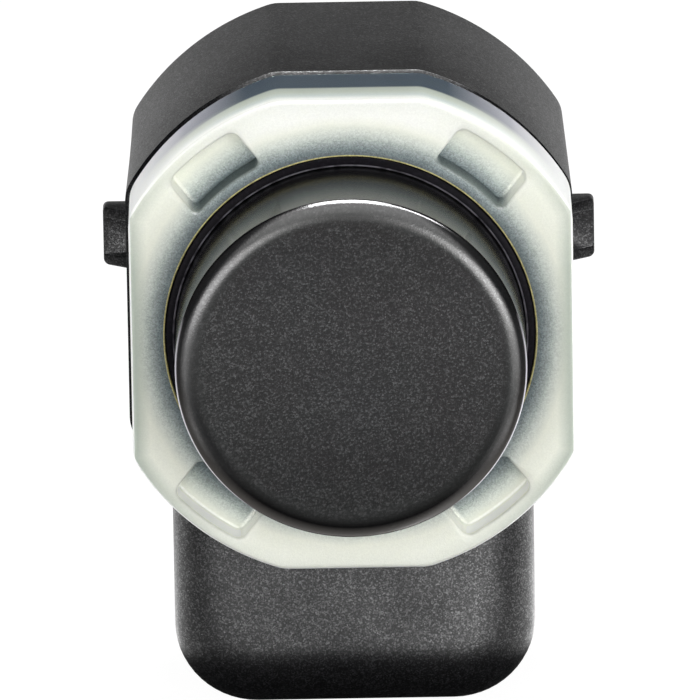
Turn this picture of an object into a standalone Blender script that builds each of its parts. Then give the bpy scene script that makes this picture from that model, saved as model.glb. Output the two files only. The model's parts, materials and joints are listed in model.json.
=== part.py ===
# Parking sensor: an ultrasonic cup in a soft clear ring, on a moulded housing with a three-pin socket.
# Run with: blender --background --python part.py
# X is across the sensor, the cup looks along -Y, and +Z is up. The foot of the socket box stands on z = 0.
# Inside the functions, y is measured back from the ring's front face and z up from the cup's axis.

import math

import bmesh
import bpy
from mathutils import Vector

MM = 0.001

# Clearances
BOND_GAP = 0.05 * MM
CLEARANCE = 0.1 * MM
CUT_OVERRUN = 0.5 * MM

# Ultrasonic cup
CUP_RADIUS = 7.75 * MM
CUP_WALL = 0.9 * MM
CUP_FLOOR = 0.8 * MM
CUP_STAND_OUT = 5.6 * MM
CUP_EDGE_RADIUS = 0.58 * MM
CUP_INNER_RADIUS = 0.4 * MM
CUP_INSERTION = 6.0 * MM

# Black sleeve round the cup
SLEEVE_WALL = 0.46 * MM
SLEEVE_LIP = 0.7 * MM
SLEEVE_LIP_OVERLAP = 0.8 * MM

# Clear decoupling ring
RING_WALL = 2.9 * MM
RING_SIDE_FLAT = 1.38 * MM
RING_TOP_FLAT = 0.48 * MM
RING_DEPTH = 4.6 * MM
RING_EDGE = 0.33 * MM
POCKET_ANGLE = math.radians(52)
POCKET_LENGTH = 3.75 * MM
POCKET_WIDTH = 1.95 * MM
POCKET_WEB = 0.5 * MM
POCKET_DEPTH = 1.4 * MM
POCKET_CORNER = 0.35 * MM
POCKET_FACET = 0.6 * MM

# Housing body, which follows the ring's outline
RIM_MARGIN = 0.15 * MM
RIM_EDGE = 0.12 * MM
BODY_DRAFT = 0.05 * MM
BODY_SIDE_DRAFT = 0.2 * MM
BODY_WALL = 1.3 * MM
NECK_WALL = 0.95 * MM
NECK_REACH = 2.5 * MM
SHOULDER_THICKNESS = 0.9 * MM
SHOULDER_OPENING = 6.0 * MM
BOARD_SHELF_WIDTH = 0.8 * MM
COVER_LEDGE_WIDTH = 0.45 * MM

# Socket box under the body
BOX_HALF_WIDTH = 8.13 * MM
BOX_SETBACK = 0.7 * MM
BOX_DROP = 19.2 * MM
BOX_CORNER = 3.7 * MM
BOX_FILLET = 2.2 * MM
BOX_TOP_SINK = 3.8 * MM
SHROUD_TOP_LAP = 0.4 * MM
SHROUD_TOP_CORNER = 1.2 * MM
SHROUD_SIDE_WALL = 1.6 * MM
SHROUD_FLOOR = 1.4 * MM
SHROUD_ROOF = 1.4 * MM
MOUTH_DEPTH = 9.4 * MM
PARTITION = 2.0 * MM
WELL_FRONT_WALL = 1.9 * MM
WELL_HALF_WIDTH = 5.4 * MM
WELL_FLOOR = 1.6 * MM
LATCH_WINDOW_WIDTH = 4.0 * MM
LATCH_WINDOW_LENGTH = 2.0 * MM
LATCH_WINDOW_INSET = 2.0 * MM

# Locking lugs on the body's sides
LUG_STAND_OUT = 1.18 * MM
LUG_HEIGHT = 2.73 * MM
LUG_CENTRE_HEIGHT = 0.49 * MM
LUG_SETBACK = 0.85 * MM
LUG_TIP_DEPTH = 0.9 * MM
LUG_ROOT_DEPTH = 2.2 * MM
LUG_ROOT_SINK = 0.6 * MM
LUG_RIB = 0.52 * MM

# Rear cover and potting
COVER_THICKNESS = 1.15 * MM
COVER_DISH_RADIUS = 5.5 * MM
COVER_DISH_DEPTH = 0.35 * MM
POTTING_OVER_CORE = 1.4 * MM
POTTING_GAP = 0.1 * MM

# Circuit board and what stands on it
BOARD_THICKNESS = 0.8 * MM
BOARD_FRONT_ROOM = 2.4 * MM
CHIP_SIDE = 5.0 * MM
CHIP_THICKNESS = 0.9 * MM
CHIP_EDGE_DISTANCE = 2.58 * MM
RESONATOR_LENGTH = 3.2 * MM
RESONATOR_THICKNESS = 0.8 * MM
RESONATOR_WIDTH = 1.5 * MM
RESONATOR_DROP = 3.2 * MM
TANK_LENGTH = 3.2 * MM
TANK_THICKNESS = 1.6 * MM
TANK_WIDTH = 2.5 * MM
TANK_OFFSET = 4.0 * MM
TANK_RISE = 4.2 * MM
FILTER_LENGTH = 2.0 * MM
FILTER_WIDTH = 1.25 * MM
FILTER_OFFSET = 5.0 * MM
FILTER_DROP = 1.6 * MM
FILTER_PITCH = 2.2 * MM
RESISTOR_LENGTH = 1.6 * MM
RESISTOR_THICKNESS = 0.5 * MM
RESISTOR_WIDTH = 0.8 * MM
RESISTOR_EDGE_DISTANCE = 2.68 * MM
RESISTOR_PITCH = 1.8 * MM
DIODE_LENGTH = 2.6 * MM
DIODE_THICKNESS = 1.1 * MM
DIODE_WIDTH = 1.6 * MM
DIODE_OFFSET = 4.6 * MM
DIODE_DROP = 1.6 * MM
CORE_OFFSET = 4.2 * MM
CORE_RISE = 3.6 * MM
CORE_FLANGE_RADIUS = 2.6 * MM
CORE_HUB_RADIUS = 1.2 * MM
CORE_FLANGE_THICKNESS = 0.5 * MM
CORE_HEIGHT = 3.2 * MM
COIL_RADIUS = 2.35 * MM

# Connector pins
PIN_PITCH = 2.54 * MM
PIN_WIDTH = 0.64 * MM
PIN_FREE_LENGTH = 5.0 * MM
PIN_RISE_GAP = 0.9 * MM
PIN_RISE_DISTANCE = 1.28 * MM
PIN_BOARD_HEIGHT = -6.0 * MM
PIN_TIP_PROUD = 0.7 * MM

# Contacts and wires between the cup and the board
PIEZO_RADIUS = 3.2 * MM
PIEZO_THICKNESS = 0.3 * MM
FOAM_LENGTH = 5.6 * MM
CARRIER_THICKNESS = 1.8 * MM
CARRIER_INSET = 0.8 * MM
CONTACT_RADIUS = 0.3 * MM
CONTACT_SPACING = 4.0 * MM
CONTACT_FRONT_REACH = 0.9 * MM
WIRE_RADIUS = 0.12 * MM
WIRE_SPACING = 2.4 * MM
WIRE_HOLE_RADIUS = 0.3 * MM

# Facets
ROUND_STEPS = 72
SMALL_ROUND_STEPS = 24
ARC_STEPS = 10
CORNER_STEPS = 5

# Places that follow from the sizes above
BORE_RADIUS = CUP_RADIUS + BOND_GAP + SLEEVE_WALL + BOND_GAP
RING_RADIUS = BORE_RADIUS + RING_WALL
RING_HALF_WIDTH = RING_RADIUS - RING_SIDE_FLAT
RING_HALF_HEIGHT = RING_RADIUS - RING_TOP_FLAT
SLEEVE_LIP_FRONT = CUP_INSERTION + BOND_GAP
SLEEVE_BACK = SLEEVE_LIP_FRONT + SLEEVE_LIP
SHOULDER_FRONT = SLEEVE_BACK + BOND_GAP
SHOULDER_BACK = SHOULDER_FRONT + SHOULDER_THICKNESS
BOARD_SHELF = SHOULDER_BACK + BOARD_FRONT_ROOM
BOARD_FRONT = BOARD_SHELF + BOND_GAP
BOARD_BACK = BOARD_FRONT + BOARD_THICKNESS
BOARD_TOP = RING_HALF_HEIGHT + RIM_MARGIN - BODY_WALL - CLEARANCE
CORE_FRONT = BOARD_BACK + BOND_GAP
CORE_BACK = CORE_FRONT + CORE_HEIGHT
COVER_LEDGE = CORE_BACK + POTTING_OVER_CORE + BOND_GAP
COVER_FRONT = COVER_LEDGE + BOND_GAP
BODY_BACK = COVER_FRONT + COVER_THICKNESS
BOX_FRONT = RING_DEPTH + BOX_SETBACK
BOX_TOP = -(RING_HALF_HEIGHT - BOX_TOP_SINK)
SHROUD_TOP = -(RING_HALF_HEIGHT + RIM_MARGIN - SHROUD_TOP_LAP)
PIN_RISE = BOARD_BACK + PIN_RISE_DISTANCE
WELL_BACK = PIN_RISE + PIN_WIDTH / 2 + PIN_RISE_GAP
MOUTH_FRONT = WELL_BACK + PARTITION
SHROUD_BACK = MOUTH_FRONT + MOUTH_DEPTH
MOUTH_HALF_WIDTH = BOX_HALF_WIDTH - SHROUD_SIDE_WALL
MOUTH_FLOOR = -(BOX_DROP - SHROUD_FLOOR)
MOUTH_ROOF = SHROUD_TOP - SHROUD_ROOF
PIN_HEIGHT = (MOUTH_FLOOR + MOUTH_ROOF) / 2
PIN_PLACES = (-PIN_PITCH, 0.0, PIN_PITCH)
CUP_FRONT = -CUP_STAND_OUT
CUP_INNER_FLOOR = CUP_FRONT + CUP_FLOOR
CUP_BORE = CUP_RADIUS - CUP_WALL
PIEZO_BACK = CUP_INNER_FLOOR + BOND_GAP + PIEZO_THICKNESS
CARRIER_BACK = CUP_INSERTION - CARRIER_INSET
CARRIER_FRONT = CARRIER_BACK - CARRIER_THICKNESS
CONTACT_FRONT = CARRIER_FRONT - CONTACT_FRONT_REACH
CONTACT_BACK = BOARD_BACK + PIN_TIP_PROUD
SIDES = {"left": -1, "right": 1}

# Board parts: node, size (across, out from the board, up) and place (across, up)
CHIP_SIZE = (CHIP_SIDE, CHIP_THICKNESS, CHIP_SIDE)
RESONATOR_SIZE = (RESONATOR_LENGTH, RESONATOR_THICKNESS, RESONATOR_WIDTH)
TANK_SIZE = (TANK_LENGTH, TANK_THICKNESS, TANK_WIDTH)
FILTER_SIZE = (FILTER_LENGTH, FILTER_WIDTH, FILTER_WIDTH)
RESISTOR_SIZE = (RESISTOR_LENGTH, RESISTOR_THICKNESS, RESISTOR_WIDTH)
DIODE_SIZE = (DIODE_LENGTH, DIODE_THICKNESS, DIODE_WIDTH)
CHIP_HEIGHT = BOARD_TOP - CHIP_EDGE_DISTANCE - CHIP_SIDE / 2
RESISTOR_HEIGHT = BOARD_TOP - RESISTOR_EDGE_DISTANCE - RESISTOR_WIDTH / 2
FRONT_PARTS = (
    ("sensor_chip", CHIP_SIZE, (0.0, CHIP_HEIGHT), "moulded_epoxy"),
    ("clock_resonator", RESONATOR_SIZE, (0.0, -RESONATOR_DROP), "ceramic_part"),
)
BACK_PARTS = (
    ("tank_capacitor", TANK_SIZE, (TANK_OFFSET, TANK_RISE), "ceramic_part"),
    ("filter_capacitor_1", FILTER_SIZE, (FILTER_OFFSET, FILTER_PITCH - FILTER_DROP), "ceramic_part"),
    ("filter_capacitor_2", FILTER_SIZE, (FILTER_OFFSET, -FILTER_DROP), "ceramic_part"),
    ("bias_resistor_1", RESISTOR_SIZE, (0.0, RESISTOR_HEIGHT), "ceramic_part"),
    ("bias_resistor_2", RESISTOR_SIZE, (0.0, RESISTOR_HEIGHT - RESISTOR_PITCH), "ceramic_part"),
    ("protection_diode", DIODE_SIZE, (-DIODE_OFFSET, -DIODE_DROP), "moulded_epoxy"),
)
TRANSFORMER_PLACE = (-CORE_OFFSET, CORE_RISE)

# Finishes: colour, metallic, roughness
FINISHES = {
    "housing_plastic": ((0.045, 0.045, 0.047, 1), 0.0, 0.55),
    "clear_silicone": ((0.80, 0.83, 0.79, 1), 0.0, 0.35),
    "painted_aluminium": ((0.055, 0.055, 0.057, 1), 0.3, 0.5),
    "black_silicone": ((0.018, 0.016, 0.022, 1), 0.0, 0.25),
    "piezo_ceramic": ((0.55, 0.52, 0.44, 1), 0.0, 0.6),
    "grey_foam": ((0.30, 0.30, 0.31, 1), 0.0, 0.9),
    "carrier_plastic": ((0.12, 0.12, 0.13, 1), 0.0, 0.5),
    "tinned_brass": ((0.72, 0.68, 0.55, 1), 1.0, 0.3),
    "copper_wire": ((0.72, 0.35, 0.18, 1), 1.0, 0.35),
    "board_laminate": ((0.03, 0.20, 0.09, 1), 0.0, 0.45),
    "moulded_epoxy": ((0.03, 0.03, 0.032, 1), 0.0, 0.5),
    "ceramic_part": ((0.45, 0.33, 0.22, 1), 0.0, 0.5),
    "ferrite": ((0.09, 0.09, 0.095, 1), 0.0, 0.6),
    "potting_resin": ((0.10, 0.10, 0.11, 1), 0.0, 0.4),
}


def clear_scene():
    for obj in list(bpy.data.objects):
        bpy.data.objects.remove(obj, do_unlink=True)


def make_materials():
    for name, (colour, metallic, roughness) in FINISHES.items():
        material = bpy.data.materials.new(name)
        material.use_nodes = True
        shader = material.node_tree.nodes["Principled BSDF"]
        shader.inputs["Base Color"].default_value = colour
        shader.inputs["Metallic"].default_value = metallic
        shader.inputs["Roughness"].default_value = roughness
        material.diffuse_color = colour


def make_frame():
    """An empty at the middle of the ring's front face, which carries every piece."""
    frame = bpy.data.objects.new("sensor_frame", None)
    bpy.context.scene.collection.objects.link(frame)
    depth_middle = (SHROUD_BACK + CUP_FRONT) / 2
    frame.location = (0, -depth_middle, BOX_DROP)
    return frame


def place(name, data, frame, material=None, at=(0, 0, 0)):
    obj = bpy.data.objects.new(name, data)
    bpy.context.scene.collection.objects.link(obj)
    obj.parent = frame
    obj.location = at
    if material:
        data.materials.append(bpy.data.materials[material])
    return obj


def hide_tool(obj):
    obj.hide_render = True
    obj.display_type = "WIRE"
    return obj


def finish_mesh(name, bm, smooth_angle=None):
    bmesh.ops.recalc_face_normals(bm, faces=bm.faces)
    mesh = bpy.data.meshes.new(name)
    bm.to_mesh(mesh)
    bm.free()
    if smooth_angle:
        mesh.shade_smooth()
        mesh.set_sharp_from_angle(angle=smooth_angle)
    return mesh


def loft(name, sections):
    """A closed solid through sections of (y, [(x, z), ...]) that all have as many points."""
    bm = bmesh.new()
    loops = [[bm.verts.new((x, y, z)) for x, z in points] for y, points in sections]
    for near, far in zip(loops, loops[1:]):
        for i in range(len(near)):
            j = (i + 1) % len(near)
            bm.faces.new((near[i], near[j], far[j], far[i]))
    bm.faces.new(loops[0])
    bm.faces.new(reversed(loops[-1]))
    return finish_mesh(name, bm, math.radians(30))


def turned(name, profile, steps=ROUND_STEPS):
    """A solid turned about the Y axis from a closed profile of (radius, y) points."""
    bm = bmesh.new()
    verts = [bm.verts.new((radius, y, 0)) for radius, y in profile]
    edges = [bm.edges.new((verts[i - 1], verts[i])) for i in range(len(verts))]
    bmesh.ops.spin(
        bm,
        geom=verts + edges,
        cent=(0, 0, 0),
        axis=(0, 1, 0),
        angle=2 * math.pi,
        steps=steps,
        use_merge=True,
    )
    bmesh.ops.remove_doubles(bm, verts=bm.verts, dist=1e-7)
    axis_edges = [e for e in bm.edges if all(v.co.xz.length < 1e-7 for v in e.verts)]
    bmesh.ops.delete(bm, geom=axis_edges, context="EDGES")
    return finish_mesh(name, bm, math.radians(30))


def block(name, low, high):
    """A box between two corners."""
    bm = bmesh.new()
    bmesh.ops.create_cube(bm, size=1)
    low, high = Vector(low), Vector(high)
    bmesh.ops.scale(bm, vec=high - low, verts=bm.verts)
    bmesh.ops.translate(bm, vec=(low + high) / 2, verts=bm.verts)
    return finish_mesh(name, bm)


def rod(name, radius, front, back, steps=SMALL_ROUND_STEPS):
    """A cylinder along Y, centred on the mesh's own Y axis."""
    return turned(name, [(0, front), (radius, front), (radius, back), (0, back)], steps)


def prism_up(name, outline, bottom, top):
    """An upright prism over an outline of (x, y) points."""
    bm = bmesh.new()
    lower = [bm.verts.new((x, y, bottom)) for x, y in outline]
    upper = [bm.verts.new((x, y, top)) for x, y in outline]
    bm.faces.new(lower)
    bm.faces.new(reversed(upper))
    for i in range(len(outline)):
        j = (i + 1) % len(outline)
        bm.faces.new((lower[i], upper[i], upper[j], lower[j]))
    return finish_mesh(name, bm)


def combine(target, operation, others):
    for other in others:
        modifier = target.modifiers.new(other.name, "BOOLEAN")
        modifier.operation = operation
        modifier.solver = "EXACT"
        modifier.object = hide_tool(other)


def body_outline(inset, side_draft=0.0):
    """A circle with four flats: the ring's outline, drawn in by inset, and its sides by side_draft more."""
    radius = RING_RADIUS - inset
    half_width = RING_HALF_WIDTH - inset - side_draft
    half_height = RING_HALF_HEIGHT - inset
    first = math.acos(half_width / radius)
    last = math.asin(half_height / radius)
    quarter = [first + (last - first) * i / ARC_STEPS for i in range(ARC_STEPS + 1)]
    angles = quarter + [math.pi - a for a in reversed(quarter)]
    angles += [math.pi + a for a in quarter] + [-a for a in reversed(quarter)]
    return [(radius * math.cos(a), radius * math.sin(a)) for a in angles]


def rounded_outline(half_width, bottom, top, bottom_radius, top_radius):
    """A rectangle with round corners, from its lower right corner round to its upper right one."""
    corners = (
        (half_width - bottom_radius, bottom + bottom_radius, bottom_radius, 0),
        (-half_width + bottom_radius, bottom + bottom_radius, bottom_radius, -90),
        (-half_width + top_radius, top - top_radius, top_radius, -180),
        (half_width - top_radius, top - top_radius, top_radius, -270),
    )
    points = []
    for x, z, radius, start in corners:
        for i in range(CORNER_STEPS + 1):
            a = math.radians(start - 90 * i / CORNER_STEPS)
            points.append((x + radius * math.cos(a), z + radius * math.sin(a)))
    return points


def arc(centre, radius, start, end, steps):
    """Points of an arc in (radius, y) between two angles in degrees."""
    angles = [math.radians(start + (end - start) * i / steps) for i in range(steps + 1)]
    return [(centre[0] + radius * math.cos(a), centre[1] + radius * math.sin(a)) for a in angles]


def pocket_outline():
    """A rounded rectangle whose long edges bend round the ring's axis, which lies below it at (0, 0)."""
    outer = RING_RADIUS - POCKET_WEB
    inner = outer - POCKET_WIDTH
    corners = rounded_outline(POCKET_LENGTH / 2, inner, outer, POCKET_CORNER, POCKET_CORNER)
    points = []
    for (x, z), (next_x, next_z) in zip(corners, corners[1:] + corners[:1]):
        pieces = math.ceil(math.hypot(next_x - x, next_z - z) / POCKET_FACET)
        for i in range(pieces):
            u = x + (next_x - x) * i / pieces
            v = z + (next_z - z) * i / pieces
            points.append((u, math.sqrt(v * v - u * u)))
    return points


def make_cup(frame):
    outer_centre = (CUP_RADIUS - CUP_EDGE_RADIUS, CUP_FRONT + CUP_EDGE_RADIUS)
    outer = arc(outer_centre, CUP_EDGE_RADIUS, -90, 0, 4)
    inner_centre = (CUP_BORE - CUP_INNER_RADIUS, CUP_INNER_FLOOR + CUP_INNER_RADIUS)
    inner = arc(inner_centre, CUP_INNER_RADIUS, 0, -90, 2)
    profile = [(0, CUP_FRONT)] + outer
    profile += [(CUP_RADIUS, CUP_INSERTION), (CUP_BORE, CUP_INSERTION)] + inner + [(0, CUP_INNER_FLOOR)]
    place("membrane_cup", turned("membrane_cup", profile), frame, "painted_aluminium")


def make_sleeve(frame):
    inner = CUP_RADIUS + BOND_GAP
    outer = BORE_RADIUS - BOND_GAP
    lip = CUP_RADIUS - SLEEVE_LIP_OVERLAP
    profile = [
        (inner, 0),
        (outer, 0),
        (outer, SLEEVE_BACK),
        (lip, SLEEVE_BACK),
        (lip, SLEEVE_LIP_FRONT),
        (inner, SLEEVE_LIP_FRONT),
    ]
    place("cup_sleeve", turned("cup_sleeve", profile), frame, "black_silicone")


def make_ring(frame):
    back = RING_DEPTH - BOND_GAP
    sections = [
        (0, body_outline(RING_EDGE)),
        (RING_EDGE, body_outline(0)),
        (back, body_outline(0)),
    ]
    ring = place("decoupling_ring", loft("decoupling_ring", sections), frame, "clear_silicone")
    neck_front = RING_DEPTH - NECK_REACH
    neck_radius = BORE_RADIUS + NECK_WALL
    bore = [
        (0, -CUT_OVERRUN),
        (BORE_RADIUS, -CUT_OVERRUN),
        (BORE_RADIUS, neck_front - BOND_GAP),
        (neck_radius + BOND_GAP, neck_front - BOND_GAP),
        (neck_radius + BOND_GAP, RING_DEPTH + CUT_OVERRUN),
        (0, RING_DEPTH + CUT_OVERRUN),
    ]
    tools = [place("ring_bore", turned("ring_bore", bore), frame)]
    outline = pocket_outline()
    pocket = loft("ring_pocket", [(-CUT_OVERRUN, outline), (POCKET_DEPTH, outline)])
    for up in (1, -1):
        for across in (1, -1):
            tool = place("ring_pocket", pocket, frame)
            angle = math.atan2(up * math.sin(POCKET_ANGLE), across * math.cos(POCKET_ANGLE))
            tool.rotation_euler = (0, math.pi / 2 - angle, 0)
            tools.append(tool)
    combine(ring, "DIFFERENCE", tools)


def body_mesh():
    rim = -RIM_MARGIN
    drafted = rim + BODY_DRAFT
    side_draft = BODY_SIDE_DRAFT - BODY_DRAFT
    sections = [
        (RING_DEPTH, body_outline(rim + RIM_EDGE)),
        (RING_DEPTH + RIM_EDGE, body_outline(rim)),
        (BODY_BACK - RIM_EDGE, body_outline(drafted, side_draft)),
        (BODY_BACK, body_outline(drafted + RIM_EDGE, side_draft)),
    ]
    return loft("housing", sections)


def box_mesh():
    """The socket box under the body, with round front edges."""
    sections = []
    for i in range(CORNER_STEPS + 1):
        a = math.radians(90 * (1 - i / CORNER_STEPS))
        inset = BOX_FILLET * (1 - math.cos(a))
        y = BOX_FRONT + BOX_FILLET * (1 - math.sin(a))
        outline = rounded_outline(
            BOX_HALF_WIDTH - inset, -BOX_DROP + inset, BOX_TOP, BOX_CORNER - inset, SHROUD_TOP_CORNER
        )
        sections.append((y, outline))
    sections.append((BODY_BACK - 2 * RIM_EDGE, sections[-1][1]))
    return loft("socket_box", sections)


def shroud_mesh():
    """The lower part of the box, which runs on behind the body as the socket's shroud."""
    outline = rounded_outline(BOX_HALF_WIDTH, -BOX_DROP, SHROUD_TOP, BOX_CORNER, SHROUD_TOP_CORNER)
    return loft("socket_shroud", [(BOX_FRONT + 2 * BOX_FILLET, outline), (SHROUD_BACK, outline)])


def neck_mesh():
    outer = BORE_RADIUS + NECK_WALL
    front = RING_DEPTH - NECK_REACH
    back = RING_DEPTH + RIM_EDGE * 4
    inner = BORE_RADIUS - CUT_OVERRUN
    return turned("neck", [(inner, front), (outer, front), (outer, back), (inner, back)])


def lug_sections(side):
    """The lug's plan, (x, y), from its root in the wall to its tip."""
    wall = RING_HALF_WIDTH + RIM_MARGIN
    root = side * (wall - LUG_ROOT_SINK)
    tip = side * (wall + LUG_STAND_OUT)
    back = BODY_BACK - LUG_SETBACK
    return [(root, back), (root, back - LUG_ROOT_DEPTH), (tip, back - LUG_TIP_DEPTH), (tip, back)]


def make_lugs(frame):
    """The solid wedges, and the recesses that leave two ribs on each."""
    bottom = LUG_CENTRE_HEIGHT - LUG_HEIGHT / 2
    top = LUG_CENTRE_HEIGHT + LUG_HEIGHT / 2
    wedges, recesses = [], []
    for name, side in SIDES.items():
        wedge = prism_up(f"lug_{name}", lug_sections(side), bottom, top)
        wedges.append(place(f"lug_{name}", wedge, frame))
        wall = RING_HALF_WIDTH + RIM_MARGIN
        back = BODY_BACK - LUG_SETBACK - LUG_TIP_DEPTH
        xs = sorted((side * wall, side * (wall + LUG_STAND_OUT + CUT_OVERRUN)))
        recess = block(
            f"lug_recess_{name}",
            (xs[0], back - LUG_ROOT_DEPTH, bottom + LUG_RIB),
            (xs[1], back, top - LUG_RIB),
        )
        recesses.append(place(f"lug_recess_{name}", recess, frame))
    return wedges, recesses


def cavity_mesh():
    """The room behind the shoulder, stepped out for the board's shelf and the cover's ledge."""
    wall = BODY_WALL - RIM_MARGIN
    ledge = wall - COVER_LEDGE_WIDTH
    sections = [
        (SHOULDER_BACK, body_outline(wall + BOARD_SHELF_WIDTH)),
        (BOARD_SHELF, body_outline(wall + BOARD_SHELF_WIDTH)),
        (BOARD_SHELF, body_outline(wall)),
        (COVER_LEDGE, body_outline(wall)),
        (COVER_LEDGE, body_outline(ledge)),
        (BODY_BACK + CUT_OVERRUN, body_outline(ledge)),
    ]
    return loft("cavity", sections)


def bore_mesh():
    front = RING_DEPTH - NECK_REACH - CUT_OVERRUN
    back = SHOULDER_BACK + CUT_OVERRUN
    profile = [
        (0, front),
        (BORE_RADIUS, front),
        (BORE_RADIUS, SHOULDER_FRONT),
        (SHOULDER_OPENING, SHOULDER_FRONT),
        (SHOULDER_OPENING, back),
        (0, back),
    ]
    return turned("front_bore", profile)


def mouth_mesh():
    corner = BOX_CORNER - (SHROUD_SIDE_WALL + SHROUD_FLOOR) / 2
    outline = rounded_outline(MOUTH_HALF_WIDTH, MOUTH_FLOOR, MOUTH_ROOF, corner, SHROUD_TOP_CORNER / 2)
    return loft("socket_mouth", [(MOUTH_FRONT, outline), (SHROUD_BACK + CUT_OVERRUN, outline)])


def make_housing(frame):
    housing = place("housing", body_mesh(), frame, "housing_plastic")
    wedges, recesses = make_lugs(frame)
    joined = [
        place("socket_box", box_mesh(), frame),
        place("socket_shroud", shroud_mesh(), frame),
        place("neck", neck_mesh(), frame),
    ]
    combine(housing, "UNION", joined + wedges)

    cavity_bottom = -(RING_HALF_HEIGHT + RIM_MARGIN - BODY_WALL)
    well = block(
        "well",
        (-WELL_HALF_WIDTH, BOX_FRONT + WELL_FRONT_WALL, -BOX_DROP + WELL_FLOOR),
        (WELL_HALF_WIDTH, WELL_BACK, cavity_bottom + BOARD_SHELF_WIDTH + CUT_OVERRUN),
    )
    window_back = SHROUD_BACK - LATCH_WINDOW_INSET
    window = block(
        "latch_window",
        (-LATCH_WINDOW_WIDTH / 2, window_back - LATCH_WINDOW_LENGTH, MOUTH_ROOF - CUT_OVERRUN),
        (LATCH_WINDOW_WIDTH / 2, window_back, SHROUD_TOP + CUT_OVERRUN),
    )
    tools = recesses + [
        place("front_bore", bore_mesh(), frame),
        place("cavity", cavity_mesh(), frame),
        place("well", well, frame),
        place("socket_mouth", mouth_mesh(), frame),
        place("latch_window", window, frame),
    ]
    half = PIN_WIDTH / 2 + CLEARANCE
    slot = block(
        "pin_slot",
        (-half, WELL_BACK - CUT_OVERRUN, PIN_HEIGHT - half),
        (half, MOUTH_FRONT + CUT_OVERRUN, PIN_HEIGHT + half),
    )
    for x in PIN_PLACES:
        tools.append(place("pin_slot", slot, frame, at=(x, 0, 0)))
    combine(housing, "DIFFERENCE", tools)


def make_cover(frame):
    fit = BODY_WALL - RIM_MARGIN - COVER_LEDGE_WIDTH + CLEARANCE
    sections = [(COVER_FRONT, body_outline(fit)), (BODY_BACK, body_outline(fit))]
    cover = place("rear_cover", loft("rear_cover", sections), frame, "housing_plastic")
    dish_floor = BODY_BACK - COVER_DISH_DEPTH
    dish = rod("cover_dish", COVER_DISH_RADIUS, dish_floor, BODY_BACK + CUT_OVERRUN, ROUND_STEPS)
    combine(cover, "DIFFERENCE", [place("cover_dish", dish, frame)])


def make_board(frame):
    fit = BODY_WALL - RIM_MARGIN + CLEARANCE
    sections = [(BOARD_FRONT, body_outline(fit)), (BOARD_BACK, body_outline(fit))]
    board = place("circuit_board", loft("circuit_board", sections), frame, "board_laminate")
    front, back = BOARD_FRONT - CUT_OVERRUN, BOARD_BACK + CUT_OVERRUN
    half = PIN_WIDTH / 2 + CLEARANCE
    slot = block("board_slot", (-half, front, -half), (half, back, half))
    hole = rod("board_hole", CONTACT_RADIUS + CLEARANCE, front, back)
    tools = [place("board_slot", slot, frame, at=(x, 0, PIN_BOARD_HEIGHT)) for x in PIN_PLACES]
    for side in SIDES.values():
        tools.append(place("board_hole", hole, frame, at=(side * CONTACT_SPACING / 2, 0, 0)))
    combine(board, "DIFFERENCE", tools)


def make_board_part(frame, name, size, at, material, face, outward):
    """A part that stands on one face of the board; outward is -1 in front of it and 1 behind."""
    across, thick, up = size
    near = face + outward * BOND_GAP
    ys = sorted((near, near + outward * thick))
    mesh = block(name, (-across / 2, ys[0], -up / 2), (across / 2, ys[1], up / 2))
    place(name, mesh, frame, material, at=(at[0], 0, at[1]))


def make_transformer(frame):
    lower, upper = CORE_FRONT + CORE_FLANGE_THICKNESS, CORE_BACK - CORE_FLANGE_THICKNESS
    core = [
        (0, CORE_FRONT),
        (CORE_FLANGE_RADIUS, CORE_FRONT),
        (CORE_FLANGE_RADIUS, lower),
        (CORE_HUB_RADIUS, lower),
        (CORE_HUB_RADIUS, upper),
        (CORE_FLANGE_RADIUS, upper),
        (CORE_FLANGE_RADIUS, CORE_BACK),
        (0, CORE_BACK),
    ]
    inner = CORE_HUB_RADIUS + CLEARANCE
    coil = [
        (inner, lower + BOND_GAP),
        (COIL_RADIUS, lower + BOND_GAP),
        (COIL_RADIUS, upper - BOND_GAP),
        (inner, upper - BOND_GAP),
    ]
    at = (TRANSFORMER_PLACE[0], 0, TRANSFORMER_PLACE[1])
    place("transformer_core", turned("transformer_core", core, SMALL_ROUND_STEPS), frame, "ferrite", at)
    place("transformer_coil", turned("transformer_coil", coil, SMALL_ROUND_STEPS), frame, "copper_wire", at)


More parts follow.
